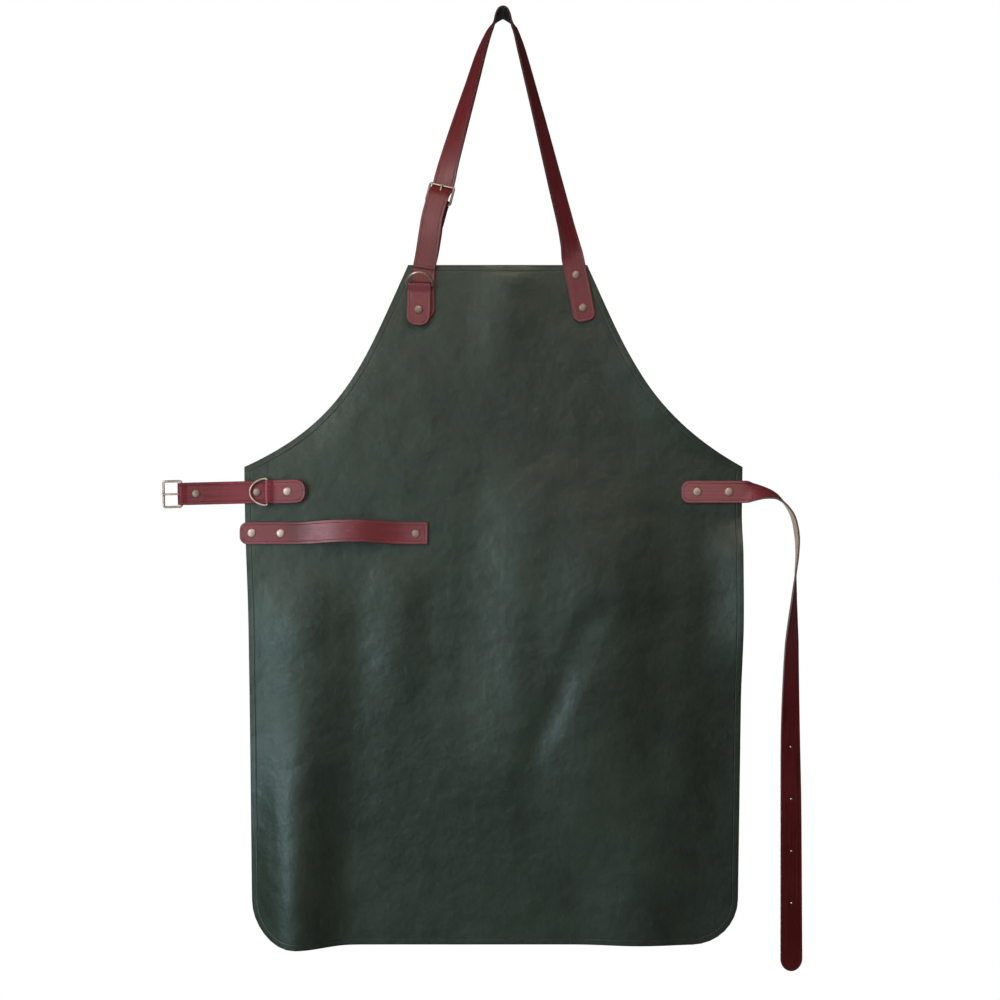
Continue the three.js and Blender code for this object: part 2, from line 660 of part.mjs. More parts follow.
addPanelRivet('waist_tab_rivet', waistTabSeat.x, waistTabSeat.z, TAB_FACE, waistTabLayers);
for (let k = 0; k < PUNCH.count; k += 1) {
  const place = new THREE.Vector3(PUNCH.x, STRAP_FACE, PUNCH.topZ - k * PUNCH.pitch);
  const frame = frameAt(place, RIGHT, FRONT);
  cutFrom(['waist_strap_long'], boreCutter(frame, STRAP.thickness, PUNCH.radius, PUNCH.sides));
}

// Leather pieces

addPiece('apron_panel', cutOut(panelSheet(), cutters.apron_panel), 'panel');

const neckShortRows = [
  ...NECK_SHORT,
  { point: placed(neckBuckle, NECK_FOLD_FLAT, strapFoldRest), face: neckBuckle.n },
  { point: placed(neckBuckle, FOLD_START, strapFoldRest), face: neckBuckle.n },
];
addStrap('neck_strap_short', [
  ...strapRun(hung(neckShortRows, STRAP.width), STATION_SPACING.neckShort, 'round', null),
  ...barFold(neckBuckle, STRAP, strapFoldRest, -strapFoldRest, STRAP_RETURN),
], STRAP);

const neckLongRows = [
  ...NECK_TAIL,
  ...NECK_WEAVE.map(({ along, out }) => ({ point: placed(neckBuckle, along, out), face: neckBuckle.n })),
  ...NECK_LOOP,
];
const neckLongRun = strapRun(hung(neckLongRows, STRAP.width), STATION_SPACING.neckLong, 'square', 'round');
addStrap('neck_strap_long', neckLongRun, STRAP);

const waistShortRows = [WAIST_SHORT_END, FOLD_START].map((along) => (
  { point: placed(waistBuckle, along, strapFoldRest), face: waistBuckle.n }
));
addStrap('waist_strap_short', [
  ...strapRun(hung(waistShortRows, STRAP.width), STATION_SPACING.waistShort, 'round', null),
  ...barFold(waistBuckle, STRAP, strapFoldRest, -strapFoldRest, STRAP_RETURN),
], STRAP);

const waistLongRun = strapRun(hung(WAIST_LONG, STRAP.width), STATION_SPACING.waistLong, 'round', 'tip');
addStrap('waist_strap_long', waistLongRun, STRAP);

const tabBackRest = -BAR_SLEEVE - TAB.thickness / 2;
const tabFrontRest = tabBackRest + TAB.thickness + CLEARANCE;
function addTab(name, frame, reach) {
  const rows = [reach, FOLD_START].map((along) => (
    { point: placed(frame, along, tabFrontRest), face: frame.n }
  ));
  addStrap(name, [
    ...strapRun(hung(rows, TAB.width), STATION_SPACING.tab, 'round', null),
    ...barFold(frame, TAB, tabFrontRest, tabBackRest, TAB_RETURN),
  ], TAB);
}
addTab('neck_ring_tab', neckRing, NECK_RING.tabReach);
addTab('waist_ring_tab', waistRing, WAIST_RING.tabReach);

const towelRows = [];
for (let k = 0; k <= TOWEL.rows; k += 1) {
  const x = THREE.MathUtils.lerp(TOWEL.left, TOWEL.right, k / TOWEL.rows);
  const share = THREE.MathUtils.clamp((x - TOWEL.bowLeft) / (TOWEL.bowRight - TOWEL.bowLeft), 0, 1);
  const rise = Math.sin(share * Math.PI) ** 2;
  towelRows.push({ x, y: STRAP_MIDDLE - TOWEL.bow * rise, z: TOWEL.z + TOWEL.lift * rise, turn: 0 });
}
const towelRun = strapRun(hung(towelRows, STRAP.width), STATION_SPACING.towel, 'round', 'square');
addStrap('towel_strap', towelRun, STRAP);

export default apron;
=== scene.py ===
"""Leather work apron hung by its neck strap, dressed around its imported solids.

Blender works in metres, in the frame of the solids: +Z is up, -Y is the front and +X the viewer's
right. The tables of places are in millimetres, and MM turns them into metres.
"""

import bisect
import json
import math

import bmesh
import bpy
from bpy.props import FloatProperty, FloatVectorProperty, PointerProperty
from mathutils import Matrix, Vector, noise


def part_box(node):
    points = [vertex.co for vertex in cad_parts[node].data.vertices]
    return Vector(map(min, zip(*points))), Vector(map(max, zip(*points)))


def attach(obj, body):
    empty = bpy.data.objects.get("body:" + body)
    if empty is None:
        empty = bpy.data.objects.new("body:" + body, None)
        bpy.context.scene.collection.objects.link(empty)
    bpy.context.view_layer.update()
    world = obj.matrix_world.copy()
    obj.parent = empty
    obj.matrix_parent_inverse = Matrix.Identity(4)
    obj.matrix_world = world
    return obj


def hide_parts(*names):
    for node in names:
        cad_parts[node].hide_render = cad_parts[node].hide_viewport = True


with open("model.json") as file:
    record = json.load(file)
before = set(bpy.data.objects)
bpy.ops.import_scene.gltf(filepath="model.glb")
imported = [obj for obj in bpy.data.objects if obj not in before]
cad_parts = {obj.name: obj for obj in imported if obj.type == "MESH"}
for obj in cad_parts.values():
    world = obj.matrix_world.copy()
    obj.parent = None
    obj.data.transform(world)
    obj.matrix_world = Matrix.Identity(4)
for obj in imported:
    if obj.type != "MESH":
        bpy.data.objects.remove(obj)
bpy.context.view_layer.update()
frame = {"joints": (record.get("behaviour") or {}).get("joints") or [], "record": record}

bl_info = {
    "name": "Leather Apron",
    "version": (1, 0, 0),
    "blender": (4, 5, 0),
    "location": "3D View > Sidebar > Apron",
    "description": "Makes a hanging leather apron with riveted straps, buckles and rings",
    "category": "Add Mesh",
}

MM = 0.001
FRONT = Vector((0, -1, 0))
BODY_OF = {
    node: body
    for body, nodes in frame["record"]["behaviour"]["bodies"].items()
    for node in nodes
}
JOINT = {joint["name"]: joint for joint in frame["joints"]}


# Sizes and colours

def length(name, description, millimetres):
    return FloatProperty(name=name, description=description, default=millimetres * MM, unit="LENGTH")


def colour(name, description, red, green, blue):
    return FloatVectorProperty(
        name=name, description=description, default=(red, green, blue), size=3, subtype="COLOR", min=0, max=1
    )


class PanelSizes(bpy.types.PropertyGroup):
    """Sizes of the bib and skirt, which are one cut of leather"""

    thickness: length("Thickness", "Thickness of the hide", 2)
    top_half: length("Top half width", "Half the width of the bib's top edge", 107.4)
    armhole_run: length("Armhole run", "How far the armhole widens the panel evenly", 109)
    armhole_flare: length("Armhole flare", "How far the armhole's last curve widens it", 82.6)
    hem_half: length("Hem half width", "Half the width of the skirt at its hem", 290.4)
    corner: length("Corner radius", "Radius of the skirt's lower corners", 54)
    crease_inset: length("Crease inset", "Distance of the pressed line from the edge", 7.4)
    crease_width: length("Crease width", "Width of the pressed line", 1.3)
    crease_depth: length("Crease depth", "Depth of the pressed line", 0.38)
    edge_round: length("Edge rounding", "Radius of the burnished edge", 0.7)
    grid: length("Grid", "Spacing of the cuts that let the hide bend", 6)
    unevenness: length("Unevenness", "Height of the hide's own slow waves", 0.35)
    wave: length("Wave", "Length of the hide's own slow waves", 70)


class StrapSizes(bpy.types.PropertyGroup):
    """Sizes of the straps and of the tabs that hold the rings"""

    width: length("Strap width", "Width of every strap", 27)
    thickness: length("Strap thickness", "Thickness of every strap", 2.6)
    tab_width: length("Tab width", "Width of the ring tabs", 28.5)
    tab_thickness: length("Tab thickness", "Thickness of the ring tabs", 1.8)
    crease_inset: length("Crease inset", "Distance of the pressed lines from the edge", 3.4)
    crease_width: length("Crease width", "Width of a pressed line", 0.9)
    crease_depth: length("Crease depth", "Depth of a pressed line", 0.3)
    edge_round: length("Edge rounding", "Radius of the burnished edges", 0.6)
    gap: length("Gap", "Gap between layers that lie on each other", 0.3)
    sleeve: length("Sleeve", "Inner radius of a fold round a bar", 2.1)
    punch: length("Punched holes", "Radius of the holes in the long waist strap", 1.3)


class MetalSizes(bpy.types.PropertyGroup):
    """Sizes of buckles, rings and rivets"""

    wire: length("Wire", "Thickness of the wire of rings and buckle frames", 3)
    buckle_width: length("Buckle width", "Outer width of a buckle frame", 33.8)
    buckle_length: length("Buckle length", "Outer length of a buckle frame", 24.5)
    ring_width: length("Ring width", "Outer width of a D-ring along its bar", 35)
    ring_depth: length("Ring depth", "Distance from the bar's middle to the ring's round end", 22.6)
    prong_width: length("Prong width", "Width of a buckle's prong", 2.4)
    prong_thickness: length("Prong thickness", "Thickness of a buckle's prong", 1.45)
    prong_reach: length("Prong reach", "Distance from the bar to the prong's tip", 23.2)
    cap: length("Rivet cap", "Radius of a rivet's cap", 4.8)
    dome: length("Rivet dome", "Height of a rivet's cap", 1.8)
    shank: length("Rivet shank", "Radius of a rivet's shank", 1.6)
    washer: length("Rivet back", "Radius of a rivet's back", 4.2)


class Finishes(bpy.types.PropertyGroup):
    """Colours of the leathers and the metal"""

    hide_dark: colour("Hide, dark", "Panel leather where the wax lies thick", 0.0079, 0.0125, 0.0073)
    hide_light: colour("Hide, light", "Panel leather where it is rubbed and pulled", 0.0235, 0.0345, 0.0205)
    hide_flesh: colour("Hide, flesh side", "Back of the panel", 0.045, 0.047, 0.037)
    hide_edge: colour("Hide, edge", "Cut and burnished edge of the panel", 0.006, 0.007, 0.006)
    strap_dark: colour("Strap, dark", "Strap leather where it is full of oil", 0.072, 0.0024, 0.0015)
    strap_light: colour("Strap, light", "Strap leather where it is dry and rubbed", 0.2, 0.028, 0.039)
    # Painted sheen: a paler, greyer pink that stands for the sheen on the long waist strap's riveted end.
    strap_painted_sheen: colour("Strap, pale", "Strap leather where a sheen is painted into its colour", 0.29, 0.11, 0.12)
    strap_flesh: colour("Strap, flesh side", "Back of the waist straps", 0.46, 0.37, 0.29)
    # Painted shade: the flesh side of the neck straps and their ring tab is coloured near black to stand for
    # the shade inside the neck loop.
    strap_worn: colour("Strap, shaded flesh side", "Back of the neck straps, painted dark as shade", 0.008, 0.003, 0.003)
    strap_edge: colour("Strap, edge", "Cut and burnished edge of the straps", 0.022, 0.0045, 0.004)
    strap_raw: colour("Strap, raw edge", "Cut edge of the long waist strap, left plain", 0.13, 0.085, 0.065)
    nickel: colour("Nickel", "Plated hardware", 0.56, 0.44, 0.37)
    tarnish: colour("Tarnish", "Plated hardware where it has dulled", 0.135, 0.088, 0.067)


class StageSizes(bpy.types.PropertyGroup):
    """Camera, floor and light"""

    distance: length("Camera distance", "Distance of the camera from the panel", 2200)
    frame_width: length("Frame width", "Width of the picture at the panel", 1200)
    aim_x: length("Aim across", "Sideways place of the middle of the picture", -3.6)
    aim_z: length("Aim height", "Height of the middle of the picture", -583.8)
    floor_drop: length("Floor drop", "Height of the floor", -1750)
    floor_radius: length("Floor radius", "Radius of the floor", 1900)


# Tables of places, in millimetres

# Panel: heights of its corners, and how its middle line moves from bib to skirt
PANEL_Z = {"top": -301.8, "waist": -544.2, "hip": -600, "thigh": -740, "hem": -1117.2}
PANEL_CENTRE = {"bib": -6.4, "waist": -11.5, "skirt": -9.2}
ARMHOLE_POWER = 4.5
CENTRE_POWER = 9
ARMHOLE_STEPS = 36
HIP_STEPS = 6

# Folds: a ridge, or a valley where forward is negative, along a line that passes x at the height z
# and leans sideways. It grows from the height top to full, and fades from low to end if these are given.
FOLD_COLUMNS = ("x", "z", "lean", "reach", "forward", "top", "full", "low", "end")
FOLDS = [
    (5, -360, 0.1, 50, 5.5, -300, -318, -360, -470),
    (-226, -420, 0.45, 84, -9, -360, -410, -470, -560),
    (198, -440, -0.5, 80, 9, -370, -430, -470, -545),
    (-240, -760, 0, 74, 10, -642, -740, None, None),
    (-250, -980, 0, 66, 24, -800, -1080, None, None),
    (164, -1080, 0, 80, 9, -900, -1080, None, None),
    (-128, -720, 0, 48, 4.5, -642, -690, -760, -880),
    (38, -700, 0.05, 88, 11.5, -500, -620, -820, -1000),
    (118, -760, 0.05, 84, 20, -500, -700, -860, -1060),
    (196, -760, 0.03, 84, 9, -600, -700, -900, -1080),
    (98, -740, 0.41, 30, -3.2, -700, -740, -860, -930),
    (296, -660, 0, 60, 17, -600, -650, -730, -830),
]

# Neck: the buckle's heel bar, the strap below it, the tail in front, and the loop above
NECK_HEEL = {"place": (-78.1, -1.24, -227.4), "lean": 14.6, "turn": 15}
ON_PANEL = -2.6
ROUTE_COLUMNS = ("x", "y", "z", "turn")
NECK_SHORT = [
    (-95.4, ON_PANEL, -366, 0),
    (-95.2, ON_PANEL, -330, 0),
    (-94.2, ON_PANEL, -303, 0),
    (-91.2, ON_PANEL, -291, 1.5),
    (-86.2, ON_PANEL, -262, 8),
]
NECK_TAIL = [
    (-94.4, -5.6, -306.6, 0),
    (-91.6, -5.8, -291, 1.5),
    (-87.2, -6.9, -262, 8),
]
# The tail through the buckle: distances along it from the heel bar and out of its face
NECK_WEAVE = [
    (20, 6.8), (8, 6.8), (0, 6.5), (-8, 5.7), (-13, 3), (-16.2, -0.6), (-19, -2.8), (-22, -3.4), (-31, -2.8),
]
NECK_LOOP = [
    (-65.4, 0.6, -180.6, 25),
    (-51.6, 0, -132.6, 40),
    (-37.2, 0, -84.6, 54),
    (-25.8, 0, -46.2, 63),
    (-18.8, 0, -27, 71),
    (-13.6, 0, -15.6, 75),
    (-6.4, 0, -3.6, 99),
    (0, 0, 1.3, 108),
    (6.2, 0, -3.6, 99),
    (13.2, 0, -15.6, 76),
    (17.4, 0, -27, 74),
    (20.6, 0, -38, 70),
    (40.2, 0, -113.4, 60),
    (64.2, -0.4, -209.4, 46.5),
    (76.2, -1.6, -257.4, 40),
    (81.4, -3.4, -281, 27),
    (83.9, ON_PANEL, -296, 0),
    (85.4, ON_PANEL, -303, 0),
    (92, ON_PANEL, -335, 0),
    (99, ON_PANEL, -369.6, 0),
]
NECK_FOLD_FLAT = 24.9
NECK_TAB_REACH = 48.4
NECK_RING_LEAN = 2
NECK_RING_SWING = 52

# Waist: the short strap runs to its buckle, and the long one twists and hangs
WAIST_RISE = 1.4
WAIST_SHORT_END = 144
WAIST_TAB_REACH = 45.5
WAIST_RING_SWING = -5.6
WAIST_LONG = [
    (213.6, ON_PANEL, -574, 0),
    (250, ON_PANEL, -574, 0),
    (280, ON_PANEL, -574, 0),
    (290, ON_PANEL, -574, 0),
    (300, ON_PANEL, -574.2, 39),
    (312, ON_PANEL, -574.9, 59),
    (326.4, ON_PANEL, -578.6, 75),
    (336.6, ON_PANEL, -586.7, 85),
    (347, ON_PANEL, -601.8, 90),
    (352.3, ON_PANEL, -625, 91),
    (352.8, ON_PANEL, -647.4, 86),
    (350.6, ON_PANEL, -674, 81),
    (348.6, ON_PANEL, -706.2, 69),
    (346.2, ON_PANEL, -754.2, 48),
    (345, ON_PANEL, -802.2, 38),
    (344.4, ON_PANEL, -862.2, 27),
    (345, ON_PANEL, -946.2, 17),
    (345.6, ON_PANEL, -1148.4, 8),
]
PUNCH_TOP_Z = -879
PUNCH_PITCH = 62.4
PUNCH_COUNT = 4

# Towel strap: flat at its riveted ends, bowed out and up between them
TOWEL = {
    "left": -315.6, "right": -90, "z": -623.6, "bow_left": -256, "bow_right": -113, "bow": 14, "lift": 3.4,
}
TOWEL_STEPS = 30

# Folds of leather round a bar
FOLD_RUN = 8
FOLD_ARC_STEPS = 18
FOLD_RIVET = 17.7
STRAP_RETURN = 27
TAB_RETURN = 44
STRAP_PINCH = 26.4 / 27
TAB_PINCH = 27.4 / 28.5

# Dryness along each strap, with light and shade painted into it: distances from its first end, and 0
# for oiled, 1 for dry and 2 for pale with a painted sheen. The rows also paint the towel strap's
# highlight on its bow, shade at the top of the neck loop and beside the waist buckle, and sheen on the
# long waist strap's riveted end
DRYNESS_AND_LIGHT = {
    "neck_strap_long": [
        (0, 0.34), (110, 0.42), (290, 0.3), (340, 0), (400, 0.1), (560, 0.5), (650, 0.45), (720, 0.5),
    ],
    "neck_strap_short": [(0, 0.5)],
    "neck_ring_tab": [(0, 0.55)],
    "waist_strap_short": [(0, 0.85), (82, 0.85), (94, 0.66), (110, 0.4), (140, 0.36)],
    "waist_ring_tab": [(0, 0.85)],
    "waist_strap_long": [
        (0, 1.95), (66, 1.8), (96, 1.1), (150, 0.9), (300, 1.1), (380, 0.5), (520, 0.1), (700, 0),
    ],
    "towel_strap": [
        (0, 0.75), (50, 0.7), (62, 0.3), (76, 0.35), (90, 0.95), (106, 0.95), (122, 0.65), (190, 0.6),
        (230, 0.7),
    ],
}

# Straps and tabs: the forms of their two ends, how they are held and what they rest on
STRAPS = {
    "neck_strap_short": ("round", "square", "hung", ["neck_buckle_frame", "apron_panel"]),
    "neck_strap_long": ("square", "round", "hung", ["neck_buckle_frame", "apron_panel"]),
    "neck_ring_tab": ("tab", "tab", "folded", ["neck_strap_short"]),
    "waist_strap_short": ("round", "square", "stretched", ["apron_panel"]),
    "waist_strap_long": ("round", "tip", "hung", ["apron_panel"]),
    "waist_ring_tab": ("tab", "tab", "folded", ["waist_strap_short"]),
    "towel_strap": ("round", "square", "stretched", ["apron_panel"]),
}

# Corners of a strap's two ends: how far in and how far from the edge they lie, and the radius that
# rounds them
END_CORNERS = {
    "round": [(0, 0, 9.6)],
    "tab": [(0, 0, 12)],
    "square": [(0, 0, 0)],
    "tip": [(9.5, 0, 5), (0, 7.6, 5.5)],
}

# Wire: corners of the frames, the eye of a prong round its bar, and the prong's taper from its tip
BUCKLE_CORNER = 2.2
BUCKLE_CORNER_STEPS = 6
RING_CORNER = 2.6
RING_CORNER_TURN = 80
RING_CORNER_STEPS = 5
RING_BEND_STEPS = 36
PRONG_EYE = 2.72
PRONG_EYE_TURN = (90, -205)
PRONG_EYE_STEPS = 20
PRONG_TAPER = [(1, 0.3), (0.985, 0.7), (0.95, 0.9), (0.85, 1), (0.5, 1), (0.2, 1)]

# Rivets: shares of the dome's height and of the cap's radius, and the back as shares of its radius
# with heights above its end
RIVET_RIM = 0.3
RIVET_UNDERCUT = 0.97
RIVET_BACK_HEIGHT = 2 / 3
RIVET_BACK_LIP = 0.4
RIVET_BACK = [(0.86, 0.15), (0.74, 0), (0.4, 0.25), (0, 0.3)]
RIVET_CAP_STEPS = 9

# Rivets whose plate has gone dull
DULL_RIVETS = (
    "neck_fold_rivet", "neck_tab_rivet", "neck_right_rivet_upper", "neck_right_rivet_lower",
    "waist_fold_rivet", "waist_ring_rivet", "towel_rivet_right",
)

# How finely shapes are made
CORNER_STEPS = 8
ROUND_STEPS = 3
WIRE_SIDES = 16
RIVET_SIDES = 40
CURVE_STEP = 1.2 * MM
LONGEST_SLICE = 6 * MM
SHARPEST_SLICE = math.radians(6)
PUNCH_CELL = 4.2 * MM
PUNCH_SIDES = 16

# A punched hole's rings on each face: how far they stand out of its radius and how deep they lie
PUNCH_RINGS = [(0.5, 0), (0.1, 0.1), (0, 0.5)]
PUNCH_INSET = 0.1
PUNCH_WAIST = 0.5
PUNCH_CLEAR = 1.4

# Tolerances, and how upright a face stays that counts as grain or flesh
MERGED = 1e-6
ON_CUT = 1e-7
FLAT_SIDE = 0.55

# The hide's slow waves: their smoothness, the step between octaves and how many there are
WAVE_NOISE = (0.8, 2, 2)


# Curves and frames

def ramp(start, end, value):
    share = min(max((value - start) / (end - start), 0), 1)
    return share * share * (3 - 2 * share)


def frame_of(place, x, y, z):
    return Matrix.Translation(place) @ Matrix((x, y, z)).transposed().to_4x4()


def bar_frame(place, along, face):
    """A frame with its x along a strap, its y out of the strap's face and its z along a bar."""
    u = Vector(along).normalized()
    n = (Vector(face) - u * u.dot(face)).normalized()
    return frame_of(place, u, n, u.cross(n))


def leaning(degrees):
    """The way down along a strap that leans to the left."""
    lean = math.radians(degrees)
    return Vector((-math.sin(lean), 0, -math.cos(lean)))


def turned_face(degrees, outward):
    """The way that leather faces when it is turned from the front towards its outer side."""
    turn = math.radians(degrees)
    return FRONT * math.cos(turn) + outward * math.sin(turn)


def neck_buckle_frame():
    down = leaning(NECK_HEEL["lean"])
    face = turned_face(NECK_HEEL["turn"], Vector((down.z, 0, -down.x)))
    return bar_frame(Vector(NECK_HEEL["place"]) * MM, down, face)


def waist_frame(joint):
    rise = math.radians(WAIST_RISE)
    return bar_frame(JOINT[joint]["pos_m"], (math.cos(rise), 0, math.sin(rise)), FRONT)


def neck_ring_frame():
    return bar_frame(JOINT["neck_ring_swing"]["pos_m"], leaning(NECK_RING_LEAN), FRONT)


def swung(bar, degrees):
    """The frame turned about its own bar, towards the front for positive angles."""
    return bar @ Matrix.Rotation(math.radians(-degrees), 4, "Z")


def curve_point(points, i, share):
    """A point on the centripetal curve through the points, after the point i."""
    a, b = points[i], points[i + 1]
    before = points[i - 1] if i else 2 * a - b
    after = points[i + 2] if i + 2 < len(points) else 2 * b - a
    d0, d1, d2 = (math.sqrt((q - p).length) for p, q in ((before, a), (a, b), (b, after)))
    leave = ((a - before) / d0 - (b - before) / (d0 + d1) + (b - a) / d1) * d1
    arrive = ((b - a) / d1 - (after - a) / (d1 + d2) + (after - b) / d2) * d1
    s2, s3 = share * share, share ** 3
    start = a * (2 * s3 - 3 * s2 + 1) + leave * (s3 - 2 * s2 + share)
    return start + b * (3 * s2 - 2 * s3) + arrive * (s3 - s2)


def smooth_run(knots):
    """Closely spaced stations on the curve through the knots, each a place, a face and a width share."""
    points = [place for place, face in knots]
    stations = []
    for i in range(len(knots) - 1):
        steps = math.ceil((points[i + 1] - points[i]).length / CURVE_STEP)
        for k in range(steps):
            face = knots[i][1].lerp(knots[i + 1][1], k / steps)
            stations.append((curve_point(points, i, k / steps), face.normalized(), 1))
    stations.append((*knots[-1], 1))
    return stations


def hung_knots(rows):
    """Knots from rows with a turn, the angle from facing forward to facing outward."""
    table = [dict(zip(ROUTE_COLUMNS, row)) for row in rows]
    points = [Vector((row["x"], row["y"], row["z"])) * MM for row in table]
    knots = []
    for i, row in enumerate(table):
        along = points[min(i + 1, len(points) - 1)] - points[max(i - 1, 0)]
        outward = Vector((-along.z, 0, along.x)).normalized()
        knots.append((points[i], turned_face(row["turn"], outward)))
    return knots


def bar_knots(bar, rows):
    """Knots from rows of distances along a bar's strap and out of its face."""
    face = bar.col[1].to_3d()
    return [(bar @ Vector((along * MM, out * MM, 0)), face) for along, out in rows]


def bar_fold(bar, sleeve, thickness, front_rest, back_rest, reach, pinch):
    """Stations of leather that comes to a bar, turns round it and goes back behind it."""
    radius = sleeve + thickness / 2
    u, n = bar.col[0].to_3d(), bar.col[1].to_3d()

    def layer(rest, side):
        rows = []
        steps = math.ceil(FOLD_RUN * MM / CURVE_STEP)
        for k in range(steps, 0, -1):
            share = ramp(0, 1, k / steps)
            height = side * radius + (rest - side * radius) * share
            place = bar @ Vector((FOLD_RUN * MM * k / steps, height, 0))
            rows.append((place, n * side, pinch + (1 - pinch) * share))
        return rows

    turn = []
    for k in range(FOLD_ARC_STEPS + 1):
        angle = math.pi * k / FOLD_ARC_STEPS
        out = n * math.cos(angle) - u * math.sin(angle)
        turn.append((bar.translation + out * radius, out, pinch))
    end = (bar @ Vector((reach * MM, back_rest, 0)), -n, 1)
    return layer(front_rest, 1) + turn + layer(back_rest, -1)[::-1] + [end]


class Route:
    """The way of a strap: its middle line, the way its grain faces and its share of the full width."""

    def __init__(self, stations):
        self.places = [place for place, face, share in stations]
        self.faces = [face for place, face, share in stations]
        self.shares = [share for place, face, share in stations]
        self.marks = [0.0]
        for before, after in zip(self.places, self.places[1:]):
            self.marks.append(self.marks[-1] + (after - before).length)
        self.length = self.marks[-1]
        last = len(stations) - 1
        self.ways = [
            (self.places[min(i + 1, last)] - self.places[max(i - 1, 0)]).normalized() for i in range(last + 1)
        ]

    def place(self, along, across, height):
        i = min(max(bisect.bisect_right(self.marks, along) - 1, 0), len(self.marks) - 2)
        share = (along - self.marks[i]) / (self.marks[i + 1] - self.marks[i])
        way = self.ways[i].lerp(self.ways[i + 1], share).normalized()
        face = self.faces[i].lerp(self.faces[i + 1], share)
        normal = (face - way * way.dot(face)).normalized()
        width = self.shares[i] + (self.shares[i + 1] - self.shares[i]) * share
        middle = self.places[i].lerp(self.places[i + 1], share)
        return middle + normal.cross(way) * (across * width) + normal * height

    def mark_at_height(self, z):
        """The distance along the route where it first passes a height on its way down."""
        return next(mark for mark, place in zip(self.marks, self.places) if place.z < z)

    def slices(self):
        """Distances where the flat strap is cut across, close together where the route bends."""
        cuts = []
        last_mark, last_way, last_face = 0.0, self.ways[0], self.faces[0]
        for mark, way, face in zip(self.marks, self.ways, self.faces):
            bend = max(way.angle(last_way), face.angle(last_face))
            if mark - last_mark > LONGEST_SLICE or bend > SHARPEST_SLICE:
                cuts.append(mark)
                last_mark, last_way, last_face = mark, way, face
        return cuts


# Leather: flat blanks that are then bent

def face_out(bm):
    bmesh.ops.recalc_face_normals(bm, faces=bm.faces[:])


def cut_blank(corners, thickness):
    """A flat closed blank of leather with rounded corners, its grain side up."""
    bm = bmesh.new()
    verts = [bm.verts.new((x, y, -thickness / 2)) for x, y, radius in corners]
    bm.faces.new(verts)
    for vert, (x, y, radius) in zip(verts, corners):
        if radius:
            bmesh.ops.bevel(
                bm, geom=[vert], offset=radius, offset_type="OFFSET", segments=CORNER_STEPS,
                profile=0.5, affect="VERTICES", clamp_overlap=False, material=-1,
            )
    face = bm.faces[:][0]
    bm.verts.layers.float.new("rim")
    grown = bmesh.ops.extrude_face_region(bm, geom=[face], use_keep_orig=True)
    risen = [item for item in grown["geom"] if isinstance(item, bmesh.types.BMVert)]
    bmesh.ops.translate(bm, verts=risen, vec=(0, 0, thickness))
    face_out(bm)
    return bm


def flat_faces(bm):
    """The blank's two large faces: grain side and flesh side."""
    bm.faces.ensure_lookup_table()
    ordered = sorted(bm.faces, key=lambda face: face.calc_center_median().z)
    return ordered[-1], ordered[0]


def step_in(bm, face, steps):
    """Insets a face in steps of inset and depth, and notes each new ring's distance from the rim."""
    rim = bm.verts.layers.float["rim"]
    inset = face.verts[0][rim]
    for width, depth in steps:
        bmesh.ops.inset_region(
            bm, faces=[face], thickness=width, depth=depth, use_even_offset=True, use_boundary=True
        )
        inset += width
        for vert in face.verts:
            vert[rim] = inset


def round_steps(radius):
    """Steps of inset and depth that round an edge."""
    angles = [math.pi / 2 * k / ROUND_STEPS for k in range(ROUND_STEPS + 1)]
    pairs = zip(angles, angles[1:])
    return [(radius * (math.cos(a) - math.cos(b)), radius * (math.sin(b) - math.sin(a))) for a, b in pairs]


def crease_steps(inset, width, depth, used):
    """Steps that press a line into the leather at a distance from its edge."""
    shoulder = width / 3
    start = inset - width / 2 - used - 2 * shoulder
    return [
        (shoulder, 0), (start, 0), (shoulder, 0), (shoulder, -depth), (shoulder, 0), (shoulder, depth),
        (shoulder, 0),
    ]


def finish_edges(bm, sizes):
    """Rounds both edges of a blank and presses the crease into its grain side."""
    grain, flesh = flat_faces(bm)
    rounding = round_steps(sizes.edge_round)
    step_in(bm, grain, rounding)
    step_in(bm, flesh, rounding)
    step_in(bm, flesh, [(sizes.edge_round / 2, 0)])
    crease = crease_steps(sizes.crease_inset, sizes.crease_width, sizes.crease_depth, sizes.edge_round)
    step_in(bm, grain, crease)


def slice_up(bm, axis, cuts):
    """Cuts a blank by planes across an axis, in order, so that it can bend between them."""
    normal = Vector((0, 0, 0))
    normal[axis] = 1
    faces = bm.faces[:]
    for cut in cuts:
        edges = {edge for face in faces for edge in face.edges}
        verts = {vert for face in faces for vert in face.verts}
        made = bmesh.ops.bisect_plane(
            bm, geom=[*verts, *edges, *faces], dist=ON_CUT, plane_co=normal * cut, plane_no=normal
        )
        faces = [
            item for item in made["geom"]
            if isinstance(item, bmesh.types.BMFace) and item.calc_center_median()[axis] > cut
        ]


def punch_hole(bm, along, radius, thickness):
    """Punches a round hole, narrower inside, in the cell that a strap's cuts left there."""
    rings = [(radius + out * MM, depth * MM) for out, depth in PUNCH_RINGS]
    rings.append((radius * PUNCH_WAIST, thickness / 2))
    cells = []
    for side in (1, -1):
        middle = Vector((along, 0, side * thickness / 2))
        cell = min(bm.faces, key=lambda face: (face.calc_center_median() - middle).length)
        bmesh.ops.bisect_edges(bm, edges=cell.edges[:], cuts=PUNCH_SIDES // 4 - 1)
        for ring, depth in rings:
            bmesh.ops.inset_region(bm, faces=[cell], thickness=PUNCH_INSET * MM, use_even_offset=True)
            for vert in cell.verts:
                way = (vert.co - middle) * Vector((1, 1, 0))
                vert.co = middle + way.normalized() * ring - Vector((0, 0, side * depth))
        cells.append(cell)
    meeting = [vert for cell in cells for vert in cell.verts]
    bmesh.ops.delete(bm, geom=cells, context="FACES_ONLY")
    bmesh.ops.remove_doubles(bm, verts=meeting, dist=MERGED)


